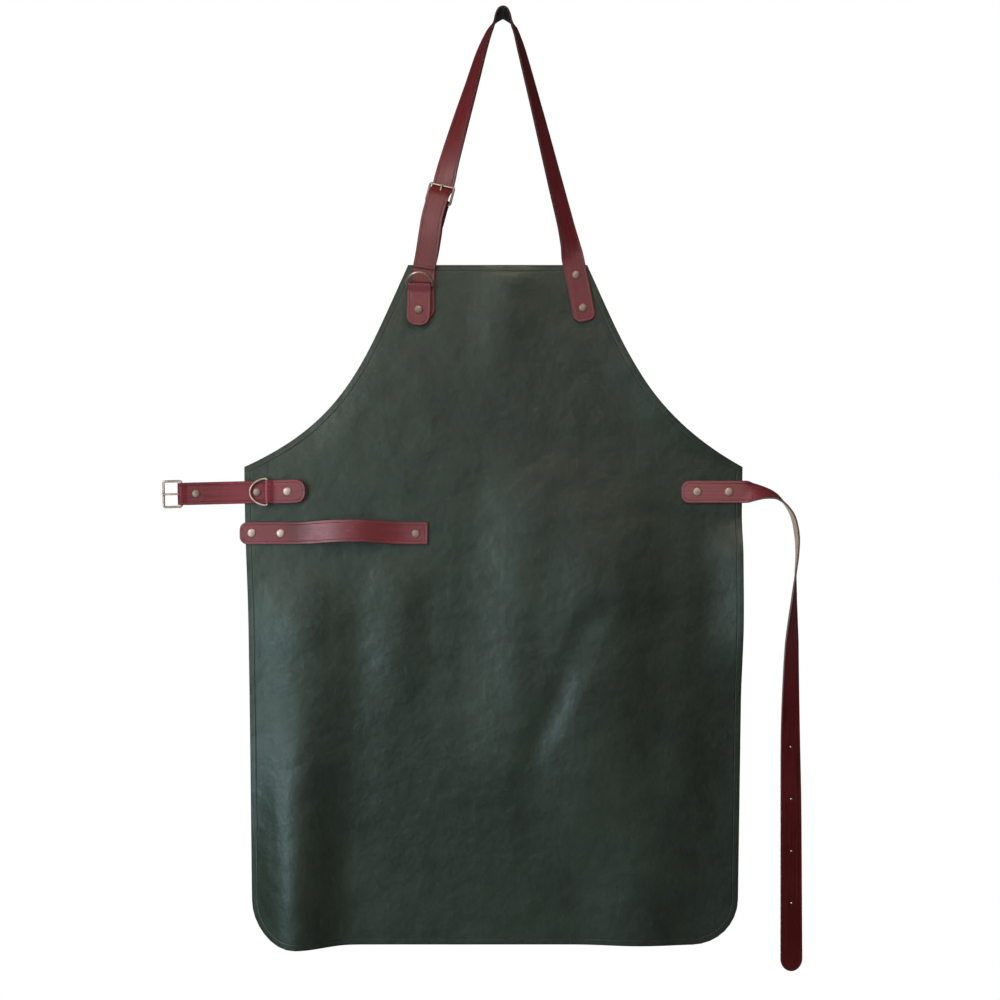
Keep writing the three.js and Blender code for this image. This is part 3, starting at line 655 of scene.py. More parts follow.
def lay_out(bm):
    """Writes the flat places as the UV map, and sorts the faces into grain, flesh and edge."""
    face_out(bm)
    layer = bm.loops.layers.uv.new("flat")
    for face in bm.faces:
        up = face.normal.z
        face.material_index = 0 if up > FLAT_SIDE else 1 if up < -FLAT_SIDE else 2
        for loop in face.loops:
            loop[layer].uv = loop.vert.co.xy


def note_dryness_and_light(bm, rows):
    """Notes how dry the leather is and the light and shade painted with it, along a flat strap, between the
    rows of distance and dryness.
    """
    layer = bm.verts.layers.float.new("dry")
    for vert in bm.verts:
        along = vert.co.x / MM
        vert[layer] = rows[-1][1]
        for (start, dry), (end, later) in zip(rows, rows[1:]):
            if along < end:
                vert[layer] = dry + (later - dry) * max(along - start, 0) / (end - start)
                break


def bend_to(bm, placed):
    """Moves every point of a flat blank to its place on the finished piece."""
    for vert in bm.verts:
        vert.co = placed(*vert.co)
    face_out(bm)


def add_object(name, data):
    made = bpy.data.objects.new(name, data)
    bpy.context.scene.collection.objects.link(made)
    return made


def add_mesh(name, bm, materials):
    """Puts a finished shape into the scene with its materials."""
    mesh = bpy.data.meshes.new(name)
    bm.to_mesh(mesh)
    bm.free()
    for material in materials:
        mesh.materials.append(material)
    return add_object(name, mesh)


def finish_piece(bm, node, finish, materials):
    """Makes the piece that stands for a node of the solids and rides with its body."""
    piece = add_mesh(f"{node}_{finish}", bm, materials)
    piece.data.shade_smooth()
    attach(piece, BODY_OF[node])
    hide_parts(node)
    return piece


# Panel

def panel_half(z, sizes):
    """Half the panel's width at a height in millimetres, before its lower corners are rounded."""
    share = (PANEL_Z["top"] - z) / (PANEL_Z["top"] - PANEL_Z["waist"])
    if share < 1:
        return sizes.top_half + sizes.armhole_run * share + sizes.armhole_flare * share ** ARMHOLE_POWER
    waist = sizes.top_half + sizes.armhole_run + sizes.armhole_flare
    down = (PANEL_Z["waist"] - z) / (PANEL_Z["waist"] - PANEL_Z["hem"])
    return waist + (sizes.hem_half - waist) * down


def panel_middle(z):
    """Where the panel's middle line runs at a height in millimetres."""
    share = (PANEL_Z["top"] - z) / (PANEL_Z["top"] - PANEL_Z["waist"])
    to_waist = min(share, 1) ** CENTRE_POWER
    to_skirt = ramp(PANEL_Z["hip"], PANEL_Z["thigh"], z)
    bib, waist, skirt = PANEL_CENTRE.values()
    return bib + (waist - bib) * to_waist + (skirt - waist) * to_skirt


def panel_corners(sizes):
    """The panel's outline as corners with their radius, round from the top left."""
    top, waist, hip, thigh, hem = PANEL_Z.values()
    heights = [top + (waist - top) * k / ARMHOLE_STEPS for k in range(ARMHOLE_STEPS + 1)]
    heights += [hip + (thigh - hip) * k / HIP_STEPS for k in range(HIP_STEPS + 1)]
    heights.append(hem)
    left = []
    right = []
    for z in heights:
        radius = sizes.corner if z == hem else 0
        left.append((panel_middle(z) * MM - panel_half(z, sizes), z * MM, radius))
        right.append((panel_middle(z) * MM + panel_half(z, sizes), z * MM, radius))
    return [*left, *right[::-1]]


def drape(x, z, sizes):
    """How far forward of its plane the hanging panel lies."""
    forward = 0.0
    for row in FOLDS:
        fold = dict(zip(FOLD_COLUMNS, row))
        away = (x / MM - fold["x"] - fold["lean"] * (z / MM - fold["z"])) / fold["reach"]
        if abs(away) < 1:
            grown = ramp(fold["top"], fold["full"], z / MM)
            faded = ramp(fold["low"], fold["end"], z / MM) if fold["end"] else 0
            forward += fold["forward"] * MM * grown * (1 - faded) * math.cos(away * math.pi / 2) ** 2
    wave = noise.fractal(Vector((x, z, 0)) / sizes.wave, *WAVE_NOISE)
    return -forward - sizes.unevenness * wave


def panel_place(x, y, height, sizes):
    """Where a point of the flat panel hangs: its height is measured out of the hide's front."""
    step = MM
    slope_x = (drape(x + step, y, sizes) - drape(x - step, y, sizes)) / (2 * step)
    slope_z = (drape(x, y + step, sizes) - drape(x, y - step, sizes)) / (2 * step)
    normal = Vector((slope_x, -1, slope_z)).normalized()
    return Vector((x, drape(x, y, sizes), y)) + normal * height


def spaced(low, high, step):
    count = math.ceil((high - low) / step)
    return [low + (high - low) * k / count for k in range(1, count)]


class APRON_OT_panel(bpy.types.Operator):
    """Cut, crease and hang the bib and skirt"""

    bl_idname = "apron.panel"
    bl_label = "Panel"

    def execute(self, context):
        sizes = context.scene.apron_panel
        bm = cut_blank(panel_corners(sizes), sizes.thickness - 2 * sizes.edge_round)
        finish_edges(bm, sizes)
        area = max(face.calc_area() for face in bm.faces)
        low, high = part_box("apron_panel")
        slice_up(bm, 1, spaced(low.z, high.z, sizes.grid))
        slice_up(bm, 0, spaced(low.x, high.x, sizes.grid))
        lay_out(bm)
        bend_to(bm, lambda x, y, height: panel_place(x, y, height, sizes))
        panel = finish_piece(bm, "apron_panel", "leather", hide_materials())
        return {"FINISHED"}


# Straps and tabs

def strap_corners(length, width, start, finish):
    """A strap's outline as corners with their radius."""
    half = width / 2
    first = [(inset * MM, half - side * MM, radius * MM) for inset, side, radius in END_CORNERS[start]]
    last = [
        (length - inset * MM, half - side * MM, radius * MM) for inset, side, radius in END_CORNERS[finish]
    ]
    upper = [*first[::-1], *last]
    lower = [(x, -y, radius) for x, y, radius in upper]
    return [*lower, *upper[::-1]]


def strap_to_bar(bar, before, flat, thickness, rests, reach, pinch):
    """Stations of a strap that comes by its knots before, lies flat up to a bar and folds round it."""
    sleeve = bpy.context.scene.apron_straps.sleeve
    flats = bar_knots(bar, [(flat, rests[0] / MM), (FOLD_RUN + 1, rests[0] / MM)])
    return smooth_run([*before, *flats]) + bar_fold(bar, sleeve, thickness, *rests, reach, pinch)


def make_strap(node, stations, holes=()):
    """Cuts a strap flat, finishes its edges, punches it and bends it along its stations."""
    sizes = bpy.context.scene.apron_straps
    width, thickness = sizes.width, sizes.thickness
    if node.endswith("_tab"):
        width, thickness = sizes.tab_width, sizes.tab_thickness
    start, finish, held, rests_on = STRAPS[node]
    route = Route(stations)
    bm = cut_blank(strap_corners(route.length, width, start, finish), thickness - 2 * sizes.edge_round)
    finish_edges(bm, sizes)
    cells = [hole + side * PUNCH_CELL for hole in holes for side in (-1, 1)]
    clear = PUNCH_CLEAR * PUNCH_CELL
    open_cuts = [cut for cut in route.slices() if all(abs(cut - hole) > clear for hole in holes)]
    slice_up(bm, 0, sorted([*open_cuts, *cells]))
    slice_up(bm, 1, [-PUNCH_CELL, PUNCH_CELL])
    for hole in holes:
        punch_hole(bm, hole, sizes.punch, thickness)
    lay_out(bm)
    note_dryness_and_light(bm, DRYNESS_AND_LIGHT[node])
    bend_to(bm, route.place)
    strap = finish_piece(bm, node, "leather", strap_materials(node))


def fold_rests(sizes):
    """Heights of the two layers of a folded strap from the middle of its bar."""
    rest = (sizes.thickness + sizes.gap) / 2
    return rest, -rest


class APRON_OT_neck_straps(bpy.types.Operator):
    """Make the buckle's short neck strap and the long one that the apron hangs by"""

    bl_idname = "apron.neck_straps"
    bl_label = "Neck Straps"

    def execute(self, context):
        sizes = context.scene.apron_straps
        bar = neck_buckle_frame()
        short = strap_to_bar(
            bar, hung_knots(NECK_SHORT), NECK_FOLD_FLAT, sizes.thickness, fold_rests(sizes),
            STRAP_RETURN, STRAP_PINCH,
        )
        make_strap("neck_strap_short", short)
        tail = hung_knots([*NECK_TAIL, *NECK_LOOP])
        weave = bar_knots(bar, NECK_WEAVE)
        knots = [*tail[:len(NECK_TAIL)], *weave, *tail[len(NECK_TAIL):]]
        make_strap("neck_strap_long", smooth_run(knots))
        return {"FINISHED"}


class APRON_OT_waist_straps(bpy.types.Operator):
    """Make the short waist strap with its buckle and the long one that hangs free"""

    bl_idname = "apron.waist_straps"
    bl_label = "Waist Straps"

    def execute(self, context):
        sizes = context.scene.apron_straps
        bar = waist_frame("waist_buckle_swing")
        short = strap_to_bar(
            bar, [], WAIST_SHORT_END, sizes.thickness, fold_rests(sizes), STRAP_RETURN, STRAP_PINCH
        )
        make_strap("waist_strap_short", short)
        stations = smooth_run(hung_knots(WAIST_LONG))
        route = Route(stations)
        holes = [route.mark_at_height((PUNCH_TOP_Z - k * PUNCH_PITCH) * MM) for k in range(PUNCH_COUNT)]
        make_strap("waist_strap_long", stations, holes)
        return {"FINISHED"}


class APRON_OT_ring_tabs(bpy.types.Operator):
    """Fold the tabs that hold the two rings"""

    bl_idname = "apron.ring_tabs"
    bl_label = "Ring Tabs"

    def execute(self, context):
        sizes = context.scene.apron_straps
        back = -sizes.sleeve - sizes.tab_thickness / 2
        front = back + sizes.tab_thickness + sizes.gap
        tabs = [
            ("neck_ring_tab", neck_ring_frame(), NECK_TAB_REACH),
            ("waist_ring_tab", waist_frame("waist_ring_swing"), WAIST_TAB_REACH),
        ]
        for node, bar, flat in tabs:
            stations = strap_to_bar(
                bar, [], flat, sizes.tab_thickness, (front, back), TAB_RETURN, TAB_PINCH
            )
            make_strap(node, stations)
        return {"FINISHED"}


class APRON_OT_towel_strap(bpy.types.Operator):
    """Bow the towel strap out from the skirt"""

    bl_idname = "apron.towel_strap"
    bl_label = "Towel Strap"

    def execute(self, context):
        rows = []
        for k in range(TOWEL_STEPS + 1):
            x = TOWEL["left"] + (TOWEL["right"] - TOWEL["left"]) * k / TOWEL_STEPS
            share = (x - TOWEL["bow_left"]) / (TOWEL["bow_right"] - TOWEL["bow_left"])
            rise = math.sin(min(max(share, 0), 1) * math.pi) ** 2
            rows.append((x, ON_PANEL - TOWEL["bow"] * rise, TOWEL["z"] + TOWEL["lift"] * rise, 0))
        make_strap("towel_strap", smooth_run(hung_knots(rows)))
        return {"FINISHED"}


# Metal

def arc(middle, radius_x, radius_y, start, end, steps):
    """Points on an arc of an ellipse, from one angle in degrees to another."""
    angles = [math.radians(start + (end - start) * k / steps) for k in range(steps + 1)]
    return [(middle[0] + radius_x * math.cos(a), middle[1] + radius_y * math.sin(a)) for a in angles]


def wire_frames(points, place, flat_axis, closed):
    """Frames along a flat path: their z runs along it and their x points out of its plane."""
    count = len(points)
    frames = []
    out = place.col[flat_axis].to_3d().normalized()
    other = 2 if flat_axis == 1 else 1
    spots = []
    for u, v in points:
        local = Vector((u, 0, 0))
        local[other] = v
        spots.append(place @ local)
    for i in range(count):
        before = spots[i - 1] if closed or i else spots[0]
        after = spots[(i + 1) % count] if closed or i + 1 < count else spots[i]
        way = (after - before).normalized()
        frames.append(frame_of(spots[i], out, way.cross(out), way))
    return frames


def sweep(bm, frames, radius_out, radius_in, closed, shares=None):
    """Sweeps an oval section along frames, and joins or caps its ends."""
    shares = shares or [1] * len(frames)
    sections = [
        place @ Matrix.Diagonal((radius_out * share, radius_in * share, 1, 1))
        for place, share in zip(frames, shares)
    ]
    circle = bmesh.ops.create_circle(bm, segments=WIRE_SIDES, radius=1, matrix=sections[0])
    first = list({edge for vert in circle["verts"] for edge in vert.link_edges})
    edges = first
    for before, after in zip(sections, sections[1:]):
        grown = bmesh.ops.extrude_edge_only(bm, edges=edges)["geom"]
        verts = {item for item in grown if isinstance(item, bmesh.types.BMVert)}
        edges = [
            item for item in grown
            if isinstance(item, bmesh.types.BMEdge) and verts.issuperset(item.verts)
        ]
        bmesh.ops.transform(bm, matrix=after @ before.inverted(), verts=list(verts))
    if closed:
        bmesh.ops.bridge_loops(bm, edges=edges + first)
    else:
        bmesh.ops.holes_fill(bm, edges=first, sides=0)
        bmesh.ops.holes_fill(bm, edges=edges, sides=0)
    face_out(bm)


def bend_wire(node, points, place, flat_axis, radii, closed, shares=None):
    """Makes a piece of plated wire along a flat path."""
    bm = bmesh.new()
    sweep(bm, wire_frames(points, place, flat_axis, closed), *radii, closed, shares)
    finish_piece(bm, node, "metal", [plate("nickel_wire")])


class APRON_OT_buckles(bpy.types.Operator):
    """Bend the two buckle frames and their prongs"""

    bl_idname = "apron.buckles"
    bl_label = "Buckles"

    def execute(self, context):
        sizes = context.scene.apron_metal
        round_wire = (sizes.wire / 2, sizes.wire / 2)
        flat_wire = (sizes.prong_width / 2, sizes.prong_thickness / 2)
        points, shares = self.prong_path(sizes)
        bars = {"neck": neck_buckle_frame(), "waist": waist_frame("waist_buckle_swing")}
        for name, bar in bars.items():
            bend_wire(f"{name}_buckle_frame", self.frame_path(sizes), bar, 1, round_wire, True)
            bend_wire(f"{name}_buckle_prong", points, bar, 2, flat_wire, False, shares)
        return {"FINISHED"}

    def frame_path(self, sizes):
        """The middle of the frame's wire, an oblong with round corners beside its heel bar."""
        corner = BUCKLE_CORNER * MM
        half = sizes.buckle_width / 2 - sizes.wire / 2
        end = sizes.wire - sizes.buckle_length
        corners = [
            (-corner, half - corner, 0), (end + corner, half - corner, 90),
            (end + corner, corner - half, 180), (-corner, corner - half, 270),
        ]
        path = []
        for x, y, start in corners:
            path += arc((x, y), corner, corner, start, start + 90, BUCKLE_CORNER_STEPS)
        return path

    def prong_path(self, sizes):
        """The middle of the prong, from its tip to the eye round the bar, and its share of full size."""
        eye = PRONG_EYE * MM
        tip = [(-sizes.prong_reach * reach, eye) for reach, share in PRONG_TAPER]
        loop = arc((0, 0), eye, eye, *PRONG_EYE_TURN, PRONG_EYE_STEPS)
        shares = [share for reach, share in PRONG_TAPER] + [1] * len(loop)
        return tip + loop, shares


class APRON_OT_rings(bpy.types.Operator):
    """Bend the two D-rings"""

    bl_idname = "apron.rings"
    bl_label = "Rings"

    def execute(self, context):
        sizes = context.scene.apron_metal
        places = {
            "neck_ring": swung(neck_ring_frame(), NECK_RING_SWING),
            "waist_ring": swung(waist_frame("waist_ring_swing"), WAIST_RING_SWING),
        }
        for node, place in places.items():
            bend_wire(node, self.path(sizes), place, 1, (sizes.wire / 2, sizes.wire / 2), True)
        return {"FINISHED"}

    def path(self, sizes):
        """The middle of the ring's wire: half an ellipse, closed by the straight bar."""
        corner = RING_CORNER * MM
        depth = sizes.ring_depth - sizes.wire / 2
        half = sizes.ring_width / 2 - sizes.wire / 2
        lean = math.degrees(math.acos(corner / depth))
        bend = arc((0, 0), depth, half, 180 - lean, 180 + lean, RING_BEND_STEPS)
        side = half - corner
        lower = arc((-corner, -side), corner, corner, -RING_CORNER_TURN, 0, RING_CORNER_STEPS)
        upper = arc((-corner, side), corner, corner, 0, RING_CORNER_TURN, RING_CORNER_STEPS)
        return [*bend, *lower, *upper]


class APRON_OT_rivets(bpy.types.Operator):
    """Set the rivets"""

    bl_idname = "apron.rivets"
    bl_label = "Rivets"

    def execute(self, context):
        sizes = context.scene.apron_metal
        straps = context.scene.apron_straps
        face = straps.thickness + straps.gap / 2
        folds = {
            "neck_fold_rivet": neck_buckle_frame(),
            "waist_fold_rivet": waist_frame("waist_buckle_swing"),
        }
        for node in sorted(node for node in BODY_OF if "rivet" in node):
            if node in folds:
                seat = folds[node] @ Matrix.Translation((FOLD_RIVET * MM, face + straps.gap, 0))
                stack = 2 * (face + straps.gap)
            else:
                low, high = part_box(node)
                middle = (low + high) / 2
                seat = bar_frame((middle.x, low.y + sizes.dome, middle.z), (1, 0, 0), FRONT)
                stack = high.y - low.y - sizes.dome - self.back_height(sizes)
            self.make(node, seat, stack, sizes)
        return {"FINISHED"}

    def back_height(self, sizes):
        return sizes.dome * RIVET_BACK_HEIGHT

    def make(self, node, seat, stack, sizes):
        """Spins a rivet's outline: a domed cap, the shank and a flat back."""
        rim = RIVET_RIM * sizes.dome
        cap = arc((0, rim), sizes.cap, sizes.dome - rim, 90, 0, RIVET_CAP_STEPS)
        back = -stack
        end = back - self.back_height(sizes)
        outline = [
            *cap, (sizes.cap * RIVET_UNDERCUT, 0), (sizes.shank, 0), (sizes.shank, back),
            (sizes.washer, back), (sizes.washer, back - RIVET_BACK_LIP * MM),
        ]
        outline += [(sizes.washer * share, end + rise * MM) for share, rise in RIVET_BACK]
        bm = bmesh.new()
        verts = [bm.verts.new((radius, height, 0)) for radius, height in outline]
        edges = [bm.edges.new(pair) for pair in zip(verts, verts[1:])]
        bmesh.ops.spin(
            bm, geom=verts + edges, cent=(0, 0, 0), axis=(0, 1, 0), angle=2 * math.pi,
            steps=RIVET_SIDES, use_merge=True,
        )
        bmesh.ops.remove_doubles(bm, verts=bm.verts[:], dist=MERGED)
        face_out(bm)
        bmesh.ops.transform(bm, matrix=seat, verts=bm.verts[:])
        finish = plate("dull_rivet" if node in DULL_RIVETS else "nickel_rivet")
        finish_piece(bm, node, "metal", [finish])


# Materials

# Looks of the two leathers: patterns to the metre, heights and edge bands in metres, and roughness
# from the dark tone to the light one
HIDE_LOOK = {
    "patches": 5.0, "scuffs": 26.0, "cells": 720.0, "dents": 27.0, "dent_height": 0.003,
    "grain_height": 0.00005, "edge": 0.004, "roughness": (0.36, 0.46), "specular": 0.52,
    "tint": (0.86, 1.0, 0.94, 1),
}
STRAP_LOOK = {
    "patches": 16.0, "cells": 1100.0, "streaks": (12.0, 380.0, 1.0), "grain_height": 0.00006,
    "edge": 0.0014, "roughness": (0.44, 0.27),
}
STRAP_SPECULAR = {"strap_grain": 0.5, "strap_grain_oiled": 0.22}
SCUFF_TONE = (0.07, 0.08, 0.07)

# Plated metal: its least and greatest share of tarnish, and its roughness where it is bright
PLATES = {
    "nickel_wire": (0.2, 0.8, 0.32),
    "nickel_rivet": (0.05, 0.4, 0.46),
    "dull_rivet": (0.6, 1.0, 0.5),
}


class Sheet:
    """A shader node tree with short ways to add nodes and link them."""

    def __init__(self, tree):
        self.tree = tree
        tree.nodes.clear()

    def give(self, socket, value):
        """Links a socket to another node's output, or sets a plain value on it."""
        if isinstance(value, bpy.types.NodeSocket):
            self.tree.links.new(value, socket)
        else:
            socket.default_value = value

    def add(self, kind, inputs=None, **settings):
        made = self.tree.nodes.new(kind)
        for name, value in settings.items():
            setattr(made, name, value)
        for key, value in (inputs or {}).items():
            self.give(made.inputs[key], value)
        return made

    def math(self, operation, first, second=0.5, clamp=False):
        made = self.add("ShaderNodeMath", {0: first, 1: second}, operation=operation, use_clamp=clamp)
        return made.outputs[0]

    def times(self, value, factor):
        return self.math("MULTIPLY", value, factor)

    def spread(self, value, low, high, to_low=0.0, to_high=1.0, smooth=False):
        made = self.add(
            "ShaderNodeMapRange",
            {"Value": value, "From Min": low, "From Max": high, "To Min": to_low, "To Max": to_high},
            interpolation_type="SMOOTHSTEP" if smooth else "LINEAR",
        )
        return made.outputs["Result"]

    def blend(self, share, first, second):
        """Mixes two colours, each another node's output or plain red, green and blue."""
        tones = [tone if isinstance(tone, bpy.types.NodeSocket) else (*tone, 1.0) for tone in (first, second)]
        made = self.add("ShaderNodeMix", {0: share, 6: tones[0], 7: tones[1]}, data_type="RGBA")
        return made.outputs[2]

    def noise(self, vector, scale, detail=3.0, roughness=0.55):
        made = self.add(
            "ShaderNodeTexNoise", {"Vector": vector, "Scale": scale, "Detail": detail, "Roughness": roughness}
        )
        return made.outputs["Fac"]

    def stretched(self, vector, scale):
        return self.add("ShaderNodeMapping", {"Vector": vector, "Scale": scale}).outputs[0]

    def group(self, name, **values):
        """Places a shader group with its own values, and gives its outputs."""
        return self.add("ShaderNodeGroup", values, node_tree=shader_group(name)).outputs


class MaterialSheet(Sheet):
    """The sheet of a new material, with its Principled shader."""

    def __init__(self, name):
        material = bpy.data.materials.new(name)
        material.use_nodes = True
        super().__init__(material.node_tree)
        self.shader = self.add("ShaderNodeBsdfPrincipled")
        self.add("ShaderNodeOutputMaterial", {"Surface": self.shader.outputs[0]})

    def feed(self, **sockets):
        """Links or sets the shader's sockets, whose names are given with underscores for spaces."""
        for name, value in sockets.items():
            self.give(self.shader.inputs[name.replace("_", " ")], value)

    def place(self):
        return self.add("ShaderNodeTexCoord").outputs["Object"]

    def flat(self, scale):
        return self.stretched(self.add("ShaderNodeUVMap", uv_map="flat").outputs[0], scale)

    def noted(self, name):
        """A value that is noted on the mesh."""
        return self.add("ShaderNodeAttribute", attribute_name=name).outputs["Fac"]

    def patches(self, place, scale):
        return self.group("Patchy Tone", Vector=place, Patches=scale)["Mask"]

    def rims(self, edge, sizes):
        return self.group(
            "Rim Band", Rim=self.noted("rim"), Edge=edge, Crease=sizes.crease_inset, Width=sizes.crease_width
        )

    def bump(self, height, depth, under=None):
        made = self.add("ShaderNodeBump", {"Height": height, "Distance": depth})
        if under:
            self.give(made.inputs["Normal"], under)
        return made.outputs[0]


def fill_leather_grain(sheet, given):
    """Pebbled grain: small raised cells with finer pores in them."""
    warp = sheet.add("ShaderNodeTexNoise", {"Vector": given["Vector"], "Scale": 220.0, "Detail": 2.0})
    shifted = sheet.add(
        "ShaderNodeVectorMath", {0: warp.outputs["Color"], 1: (0.0012, 0.0012, 0.0012)}, operation="MULTIPLY"
    )
    bent = sheet.add("ShaderNodeVectorMath", {0: given["Vector"], 1: shifted.outputs[0]}, operation="ADD")
    cells = sheet.add(
        "ShaderNodeTexVoronoi", {"Vector": bent.outputs[0], "Scale": given["Cells"]},
        feature="DISTANCE_TO_EDGE",
    )
    valleys = sheet.spread(cells.outputs["Distance"], 0.0, 0.16, 1.0, 0.0, True)
    pores = sheet.noise(bent.outputs[0], 2600.0, 2.0)
    raised = sheet.math("SUBTRACT", pores, sheet.times(valleys, 0.8))
    return {"Height": raised, "Valleys": valleys}


def fill_patchy_tone(sheet, given):
    """Slow patches with softer blotches in them, as waxed leather has."""
    broad = sheet.noise(given["Vector"], given["Patches"], 2.0, 0.5)
    blotch = sheet.noise(given["Vector"], sheet.times(given["Patches"], 6.5), 5.0, 0.62)
    mixed = sheet.math("ADD", sheet.times(broad, 0.62), sheet.times(blotch, 0.38))
    return {"Mask": sheet.spread(mixed, 0.34, 0.66)}


def fill_scuffs(sheet, given):
    """Sparse thin scuffs that run in every direction."""
    mask = None
    for turn, long_way in ((0.4, 9.0), (1.5, 6.0), (2.5, 12.0)):
        turned = sheet.add("ShaderNodeMapping", {"Vector": given["Vector"], "Rotation": (turn, turn, turn)})
        thin = sheet.stretched(turned.outputs[0], (1.0, long_way, long_way))
        streak = sheet.spread(sheet.noise(thin, given["Density"], 3.0, 0.5), 0.66, 0.74, smooth=True)
        mask = streak if mask is None else sheet.math("MAXIMUM", mask, streak)
    return {"Mask": mask}


def fill_rim_band(sheet, given):
    """Masks from the distance to a cut edge: the edge itself, the border and the pressed line."""
    edge = sheet.math("SUBTRACT", 1.0, sheet.math("DIVIDE", given["Rim"], given["Edge"]), True)
    away = sheet.math("SUBTRACT", given["Rim"], given["Crease"])
    near = sheet.math("DIVIDE", sheet.math("ABSOLUTE", away), given["Width"])
    crease = sheet.math("SUBTRACT", 1.0, near, True)
    border = sheet.math("SUBTRACT", 0.5, sheet.math("DIVIDE", away, given["Width"]), True)
    return {"Edge": edge, "Border": border, "Crease": crease}


# Shader groups: what fills them, their inputs with defaults, and their outputs
GROUPS = {
    "Leather Grain": (fill_leather_grain, {"Vector": None, "Cells": 900}, ["Height", "Valleys"]),
    "Patchy Tone": (fill_patchy_tone, {"Vector": None, "Patches": 6}, ["Mask"]),
    "Scuffs": (fill_scuffs, {"Vector": None, "Density": 60}, ["Mask"]),
    "Rim Band": (
        fill_rim_band, {"Rim": 0, "Edge": 0.001, "Crease": 0.007, "Width": 0.001},
        ["Edge", "Border", "Crease"],
    ),
}


def shader_group(name):
    """The shader node group of that name, made the first time that it is asked for."""
    if name in bpy.data.node_groups:
        return bpy.data.node_groups[name]
    fill, inputs, outputs = GROUPS[name]
    tree = bpy.data.node_groups.new(name, "ShaderNodeTree")
    for label, default in inputs.items():
        kind = "NodeSocketVector" if default is None else "NodeSocketFloat"
        socket = tree.interface.new_socket(name=label, in_out="INPUT", socket_type=kind)
        if default is not None:
            socket.default_value = default
    for label in outputs:
        tree.interface.new_socket(name=label, in_out="OUTPUT", socket_type="NodeSocketFloat")
    sheet = Sheet(tree)
    made = fill(sheet, sheet.add("NodeGroupInput").outputs)
    sheet.add("NodeGroupOutput", made)
    return tree


def fill_hide_grain(sheet):
    """Dark green waxed hide: patchy, lighter where rubbed, darker along its edges."""
    finish = bpy.context.scene.apron_finish
    place = sheet.place()
    tone = sheet.patches(place, HIDE_LOOK["patches"])
    scuffs = sheet.group("Scuffs", Vector=place, Density=HIDE_LOOK["scuffs"])["Mask"]
    grain = sheet.group("Leather Grain", Vector=place, Cells=HIDE_LOOK["cells"])
    masks = sheet.rims(HIDE_LOOK["edge"], bpy.context.scene.apron_panel)
    base = sheet.blend(tone, finish.hide_dark, finish.hide_light)
    base = sheet.blend(sheet.times(scuffs, 0.16), base, SCUFF_TONE)
    for mask, share in ((grain["Valleys"], 0.35), (masks["Edge"], 0.8), (masks["Crease"], 0.6)):
        base = sheet.blend(sheet.times(mask, share), base, finish.hide_edge)
    rough = sheet.spread(tone, 0.0, 1.0, *HIDE_LOOK["roughness"])
    rough = sheet.math("ADD", rough, sheet.times(grain["Valleys"], 0.12))
    dents = sheet.bump(sheet.noise(place, HIDE_LOOK["dents"], 3.0, 0.5), HIDE_LOOK["dent_height"])
    pebbled = sheet.bump(grain["Height"], HIDE_LOOK["grain_height"], dents)
    sheet.feed(Base_Color=base, Roughness=rough, Normal=pebbled)
    sheet.feed(Specular_IOR_Level=HIDE_LOOK["specular"], Specular_Tint=HIDE_LOOK["tint"])


def fill_hide_flesh(sheet):
    """The back of the hide: dyed suede with a short nap."""
    flesh = bpy.context.scene.apron_finish.hide_flesh
    place = sheet.place()
    nap = sheet.noise(place, 1400.0, 4.0, 0.7)
    share = sheet.math("ADD", sheet.times(sheet.patches(place, 9.0), 0.6), sheet.times(nap, 0.4))
    base = sheet.blend(share, [0.55 * value for value in flesh], flesh)
    sheet.feed(Base_Color=base, Roughness=0.92, Specular_IOR_Level=0.2, Normal=sheet.bump(nap, 0.0003))


def fill_edge(sheet, rgb):
    """A cut edge, waxed and rubbed round."""
    fibre = sheet.noise(sheet.place(), 900.0)
    base = sheet.blend(fibre, [0.6 * value for value in rgb], [1.5 * value for value in rgb])
    sheet.feed(Base_Color=base, Roughness=0.5, Specular_IOR_Level=0.25, Normal=sheet.bump(fibre, 0.00008))


def fill_strap_grain(sheet, specular):
    """Burgundy bridle leather: lengthwise streaks, dry and oiled stretches with painted highlights, sheen and
    shade along them, and dark pressed lines.
    """
    finish = bpy.context.scene.apron_finish
    place = sheet.place()
    masks = sheet.rims(STRAP_LOOK["edge"], bpy.context.scene.apron_straps)
    # The noted dryness also carries painted light and shade: highlights, sheen and shade laid along the
    # straps.
    dry = sheet.noted("dry")
    streak = sheet.noise(sheet.flat(STRAP_LOOK["streaks"]), 1.0, 4.0, 0.6)
    tone = sheet.patches(place, STRAP_LOOK["patches"])
    grain = sheet.group("Leather Grain", Vector=place, Cells=STRAP_LOOK["cells"])
    share = sheet.math("ADD", dry, sheet.spread(streak, 0.25, 0.75, -0.34, 0.34))
    share = sheet.math("ADD", share, sheet.spread(tone, 0.0, 1.0, -0.16, 0.16), True)
    share = sheet.math("ADD", share, sheet.times(masks["Border"], 0.1), True)
    base = sheet.blend(share, finish.strap_dark, finish.strap_light)
    # Painted sheen: past a dryness of 1 the colour turns to the pale pink that stands for sheen.
    painted_sheen = sheet.math("SUBTRACT", dry, 1.0, True)
    painted_sheen = sheet.math("MULTIPLY", painted_sheen, sheet.spread(streak, 0.3, 0.7, 0.55, 1.2), True)
    base = sheet.blend(painted_sheen, base, finish.strap_painted_sheen)
    for mask, strength in ((masks["Crease"], 0.7), (masks["Edge"], 0.8)):
        base = sheet.blend(sheet.times(mask, strength), base, finish.strap_edge)
    rough = sheet.spread(share, 0.0, 1.0, *STRAP_LOOK["roughness"])
    height = sheet.math("ADD", grain["Height"], sheet.times(streak, 0.8))
    raised = sheet.bump(height, STRAP_LOOK["grain_height"])
    sheet.feed(Base_Color=base, Roughness=rough, Specular_IOR_Level=specular, Normal=raised)


